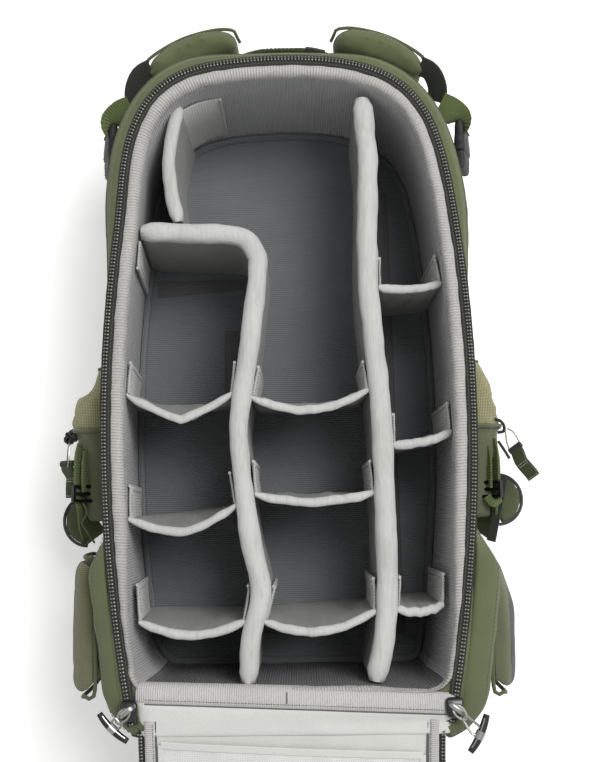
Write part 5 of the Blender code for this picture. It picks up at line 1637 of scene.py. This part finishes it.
def make_sliders():
    """Slider cap, flange and bail at each base end of the zipper."""
    for name, sign in SIDES.items():
        body = "slider_" + name
        x_mid = side_x(SLIDER_Y)
        rows = []
        for dy, w, top in CAP_ROWS:
            x0, x1 = sign * (x_mid - 0.0006 - w), sign * (x_mid - 0.0006 + w)
            rows.append((SLIDER_Y + dy, x0, x1, 0.1922, top))
        grid("slider_cap_" + name, rounded(rows, 0.0030, steps=2), M["gunmetal"], body=body,
             replaces="zipper_slider_" + name, slot="steel", sharp=60.0)
        flange = [(SLIDER_Y - 0.0062, sign * (x_mid + 0.0032), sign * (x_mid + 0.0052), 0.1888, 0.1930),
                  (SLIDER_Y + 0.0062, sign * (x_mid + 0.0034), sign * (x_mid + 0.0056), 0.1888, 0.1930)]
        grid("slider_flange_" + name, rounded(flange, 0.0008), M["gunmetal"], body=body, slot="steel")
        eye = Vector((sign * x_mid, SLIDER_Y, EYE_Z))
        out = Vector((sign * 0.80, -0.60, 0.0))
        bail = smooth_path([eye + out * d + UP * rise for d, rise in BAIL], 5)
        tube("slider_bail_" + name, bail, 0.0011, M["nickel"], sides=8, squash=1.8,
             face=Vector((out.y, -out.x, 0.0)), body=body, slot="steel")


def make_pulls():
    """Ring, long link and bar pull that hang from each slider's bail."""
    bars = {"left": Vector((0.72, -0.69, 0.0)), "right": Vector((-0.44, -0.90, 0.0))}
    lies = {"left": (Vector((-0.66, -0.75, 0.0)), 0.0140), "right": (Vector((0.66, -0.75, 0.0)), 0.0240)}
    for name, sign in SIDES.items():
        body = "pull_" + name
        eye = Vector((sign * side_x(SLIDER_Y), SLIDER_Y, EYE_Z))
        out, reach_out = lies[name]
        side = Vector((-out.y, out.x, 0.0))
        far = eye + out * reach_out
        link = smooth_path([eye + out * d - side * w for d, w in RING]
                           + [eye + out * d + side * w for d, w in RING[::-1]], 4)
        tube("pull_ring_" + name, link, 0.0011, M["nickel"], sides=8, closed=True, body=body, slot="steel")
        second = smooth_path([eye + out * 0.0096 - side * 0.0020,
                              eye + out * (reach_out - 0.0040) - side * 0.0038, far - side * 0.0034,
                              far + out * 0.0016, far + side * 0.0034,
                              eye + out * (reach_out - 0.0040) + side * 0.0038,
                              eye + out * 0.0096 + side * 0.0020], 4)
        tube("pull_link_" + name, [p + UP * 0.0004 for p in second], 0.0010, M["nickel"], sides=8,
             closed=True, body=body, slot="steel")
        reach = bars[name] * 0.0155
        grip = smooth_path([far + out * 0.0018 - reach, far + out * 0.0032 - reach * 0.5, far + out * 0.0036,
                            far + out * 0.0032 + reach * 0.5, far + out * 0.0018 + reach], 5)
        last = len(grip) - 1

        def bar_radius(i):
            return 0.0031 * (0.70 + 0.30 * math.sin(math.pi * min(max(i, 1), last - 1) / last) ** 0.5)
        tube("pull_bar_" + name, grip, bar_radius, M["black"], sides=10, body=body,
             replaces="slider_pull_" + name, slot="black_plastic")
        # Painted highlight: a thin nickel rail along the top of the black bar stands for the light it
        # reflects along its edge.
        rail = [p + UP * 0.0024 - out * 0.0015 for p in grip[2:-2]]
        tube("pull_highlight_rail_" + name, rail, 0.0006, M["nickel"], sides=6, body=body, slot="steel")
        collar = [far + out * 0.0034 - bars[name] * 0.0032, far + out * 0.0034 + bars[name] * 0.0032]
        tube("pull_collar_" + name, collar, 0.0037, M["nickel"], sides=12, body=body, slot="steel")


# ---------------------------------------------------------------- back panel
LINING_FACE, LINING_BACK = 0.1890, 0.1975
SHEET, SHELL = (0.1979, 0.1999), (0.2003, 0.2085)
MESH_WIDTH, MESH_LENGTH, MESH_HEM_Y, MESH_SLANT = 0.207, 0.2705, -0.2405, 0.0110


PANEL_BASE_STEPS = 18


def panel_loop(off, start):
    """Closed outline of the back panel, offset from the zipper line, from a distance off the hinge."""
    line = zipper_line(off, HINGE_Y + start, pinched)
    left, right = line[-1].x, line[0].x
    steps = range(1, PANEL_BASE_STEPS)
    edge = [Vector((left + (right - left) * k / PANEL_BASE_STEPS, HINGE_Y + start)) for k in steps]
    return line + edge


def panel_layer(name, levels, start, mat, low_fill=None, high_fill=None, **kw):
    """Plate from (z, offset) levels of the panel outline, with filled faces below and above if asked."""
    rows = []
    for z, off in levels:
        rows.append(level(panel_loop(off, start), z))
    middle = -0.02

    def rings(loop, z, ks):
        return [[Vector((p.x * k, middle + (p.y - middle) * k, z)) for p in loop] for k in ks]
    ks = [0.985 - 0.065 * k for k in range(15)]
    if low_fill is not None:
        rows = rings(rows[0], low_fill, ks[::-1]) + rows
    if high_fill is not None:
        rows += rings(rows[-1], high_fill, ks)
    return grid(name, [opened(r) for r in rows], mat, body="back_panel", **kw)


def make_panel():
    """Back panel: lining, stiffener, outer cloth, its half of the zipper, and the mesh pocket."""
    body = "back_panel"
    levels = ((0.1900, -0.0155), (0.1894, -0.0135), (0.1915, -0.0133), (LINING_BACK, -0.0133))
    lining = panel_layer("lining_cloth", levels, LINING_START, M["lining"], low_fill=0.1898,
                         high_fill=LINING_BACK, replaces="panel_lining", slot="panel_lining", sharp=70.0)
    wrinkle(lining, 0.0011, 0.050, 2.2, lambda co: 1.0 if co.y < -0.285 else 0.3)
    flat_map(lining)
    panel_layer("stiffener_board", ((SHEET[0], -0.0193), (SHEET[1], -0.0193)), 0.012, M["sheet"],
                low_fill=SHEET[0], high_fill=SHEET[1], replaces="frame_sheet", slot="stiffener")
    levels = ((SHELL[0], -0.0133), (0.2045, -0.0128), (0.2070, -0.0145), (SHELL[1], -0.018))
    shell = panel_layer("panel_outer_cloth", levels, PANEL_START, M["nylon"], low_fill=SHELL[0],
                        high_fill=SHELL[1], replaces="panel_shell", slot="green_nylon", sharp=70.0)
    start = HINGE_Y + PANEL_CHAIN_START
    centre = zipper_line(PANEL_CHAIN_OFF, start, pinched)
    shape = [(-0.0088, 0.1921), (0.0014, 0.1922), (0.0017, 0.1914), (-0.0088, 0.1910)]
    swept("zipper_tape_cloth_panel", centre, shape, M["tape"], turn=True, body=body,
          replaces="zipper_tape_panel", slot="zipper_tape")
    path = opened(level(centre, 0.1898))
    teeth("zipper_coil_panel", path, PANEL_OUT, COIL_HALF, COIL_HEIGHT, COIL_WIDTH, body=body,
          replaces="zipper_chain_panel", slot="zipper_teeth")
    edge = zipper_line(PANEL_CHAIN_OFF, HINGE_Y + 0.010, pinched)
    shape = [(-0.0036, 0.1906), (-0.0040, 0.1888), (-0.0060, 0.1880), (-0.0090, 0.1879), (-0.0112, 0.1884),
             (-0.0118, 0.1897), (-0.0080, 0.1903)]
    strip = swept("panel_edge_tape", edge, shape, M["piping"], turn=True, body=body, slot="binding_grey",
                  sharp=70.0)
    wrinkle(strip, 0.0004, 0.010, 5.0)
    seam = zipper_line(PANEL_CHAIN_OFF - 0.0128, HINGE_Y + 0.010, pinched)
    tube("panel_edge_groove", opened(level(seam, 0.1894)), 0.0008, M["thread_dark"], sides=6, body=body)
    line = zipper_line(PANEL_CHAIN_OFF - 0.0104, HINGE_Y + 0.012, pinched)
    stitches("panel_edge_stitch", [opened(level(line, 0.1880))], [PANEL_OUT], M["thread_dark"],
             pitch=0.0030, body=body)

    rows = []
    along, across = 40, 24
    raised = PANEL_OUT * 0.0006
    for i in range(along + 1):
        t = i / along
        row = []
        for j in range(across + 1):
            s = j / across
            x = MESH_WIDTH * (s - 0.5)
            y = MESH_HEM_Y + MESH_SLANT * s + (MESH_LENGTH - MESH_SLANT * s) * t
            lift = 0.0007 + 0.0020 * (1 - t) ** 3 * math.sin(math.pi * s)
            lift += 0.0005 * noise.noise(Vector((s * 4, t * 7, 3)))
            if i == along or j in (0, across):
                lift = 0.0003
            row.append(Vector((x, y, LINING_FACE - lift)))
        rows.append(opened(row))
    net = grid("mesh_pocket_cloth", rows, M["panel_net"], wrap_cols=False, body=body,
               replaces="panel_mesh_pocket", slot="panel_mesh")
    hem = [p + raised for p in rows[0]]
    bound = webbing("mesh_pocket_hem", hem, PANEL_Y, 0.0060, 0.0012, M["lining"], body=body,
                    slot="panel_mesh")
    sides = [[row[j] + raised for row in rows] for j in (0, across)]
    trims = [webbing("mesh_pocket_side_%d" % k, line, PANEL_X, 0.0050, 0.0010, M["lining"],
                     body=body, slot="panel_mesh") for k, line in enumerate(sides)]


BAND_SECTION = ((-0.2545, 0.1760), (-0.2543, 0.1830), (-0.2552, 0.1885), (-0.2580, 0.1916), (-0.2620, 0.1932),
                (-0.2665, 0.1934), (-0.2695, 0.1926), (-0.2702, 0.1920))
APRON = ((0.0006, 0.0006), (0.0030, 0.0012), (0.0070, 0.0010), (0.0120, 0.0008), (0.0170, 0.0011),
         (0.0210, 0.0017), (0.0232, 0.0012), (0.0238, 0.0001))


BAND_LEFT, BAND_WIDTH = -0.1245, 0.2560


def bend_at_hinge(piece):
    """Bakes a piece's transform into its mesh."""
    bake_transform(piece)


def make_hinge():
    """Grey ribbed band over the base wall's top edge, sewn to the lining that runs on over the hinge."""
    rows = []
    count = 72
    for i in range(count + 1):
        s = i / count
        x = BAND_LEFT + BAND_WIDTH * s
        slant = -0.0058 * (2 * s - 1) - 0.0008
        edge = max(0.0, abs(2 * s - 1) - 0.88) / 0.12
        outer = []
        for k, (y, z) in enumerate(BAND_SECTION):
            share = 0.75 + 0.25 * k / 7
            jitter = 0.0004 * noise.noise(Vector((s * 30.0, k * 0.9, 0.0)))
            outer.append(Vector((x, y + slant * share, z - 0.0035 * edge ** 2 + jitter)))
        for d, lift in APRON:
            y = -0.2702 + slant * max(0.0, 1.0 - d / 0.012) - d * 0.955
            wave = 0.0006 * noise.noise(Vector((s * 8.0, d * 60.0, 3.0)))
            z = 0.1924 - d * 0.2957 + lift * 0.7 - 0.0030 * edge ** 2 + wave
            outer.append(Vector((x * (0.985 - 0.9 * d), y, z)))
        inner = []
        for k, p in enumerate(outer):
            a, b = outer[max(k - 1, 0)], outer[min(k + 1, len(outer) - 1)]
            along = (b - a).normalized()
            inner.append(p + Vector((0.0, -along.z, along.y)) * 0.0015)
        rows.append(outer + inner[::-1])
    split = len(BAND_SECTION) - 1
    last = 2 * (len(BAND_SECTION) + len(APRON)) - 1
    band = grid("hinge_band", rows, [M["piping"], M["lining"]], body=None, replaces="hinge_piping",
                slot="binding_grey", sharp=70.0, band=lambda i, j: 0 if j < split or j >= last - split else 1)
    subdivide(band)
    baked(band)
    bend_at_hinge(band)
    crease = [row[len(BAND_SECTION)] + Vector((0.0, 0.0, -0.0002)) for row in rows[2:-2]]
    seam = tube("hinge_seam", crease, 0.0006, M["thread_dark"], sides=6, body=None)
    bend_at_hinge(seam)
    line = stitches("hinge_stitch", [[p + Vector((0.0, 0.0034, 0.0009)) for p in crease]], [UP],
                    M["thread_dark"], pitch=0.0028, body=None)
    bend_at_hinge(line)
    joint = [rows[34][k] + Vector((0.0, 0.0, 0.0003)) for k in range(3, len(BAND_SECTION) - 2)]
    tube("hinge_join", joint, 0.0004, M["thread_dark"], sides=5)
    for name, sign in SIDES.items():
        path = mirrored(((0.1175, -0.272, 0.1700), (0.1215, -0.290, 0.1690), (0.1235, -0.2965, 0.1660)), sign)
        webbing("base_loop_" + name, path, (sign * 1.0, 0.2, 0.0), 0.0130, 0.0022, M["webbing"],
                slot="green_webbing")


# ---------------------------------------------------------------- harness
STRAP_WEB = ((0.049, 0.2000, 0.2462), (0.053, 0.1680, 0.2452), (0.064, 0.1000, 0.2410),
             (0.074, 0.0200, 0.2396), (0.078, -0.0600, 0.2384), (0.078, -0.0860, 0.2350))
STERNUM_WEB = ((0.0380, 0.046, 0.2412), (0.0550, 0.046, 0.2434), (0.0720, 0.046, 0.2436),
               (0.0880, 0.046, 0.2428), (0.0950, 0.046, 0.2412))


def make_harness():
    """Lumbar and back pads, shoulder straps with their webbing, and the sternum straps."""
    body = "back_panel"
    for node, name in (("lumbar_pad", "lumbar_cushion"), ("back_pad", "back_cushion")):
        swollen(name, node, M["spacer"], voxel=0.0060, cap=0.0070, pressure=4.0, shrink=0.0012, body=body,
                wrinkles=0.0009, size=0.030)
    for name, sign in SIDES.items():
        swollen("strap_pad_" + name, "shoulder_strap_" + name, M["spacer"], voxel=0.0055, cap=0.0060,
                pressure=4.0, shrink=0.0012, body="strap_" + name, wrinkles=0.0009,
                size=0.024)
        path = mirrored(STRAP_WEB, sign)
        web = webbing("strap_web_" + name, opened(smooth_path(path, 4)), PANEL_X, 0.022, 0.0020,
                      M["webbing_dark"], body="strap_" + name, slot="green_webbing")
        for v in web.data.vertices:
            v.co.z = max(v.co.z, 0.0)
        chest = mirrored(STERNUM_WEB, sign)
        webbing("sternum_web_" + name, opened(smooth_path(chest, 4)), PANEL_Y, 0.020, 0.0020,
                M["webbing"], body="sternum_" + name, replaces="sternum_strap_" + name, slot="green_webbing")


def main():
    make_camera()
    make_stage()
    make_shell()
    make_hips()
    make_front()
    make_liner()
    make_body_zipper()
    make_dividers()
    make_head_end()
    make_side_buckles()
    make_side_pockets()
    make_lashing()
    make_hooks()
    make_side_flaps()
    make_wings()
    make_sliders()
    make_pulls()
    make_panel()
    make_hinge()
    make_harness()


main()
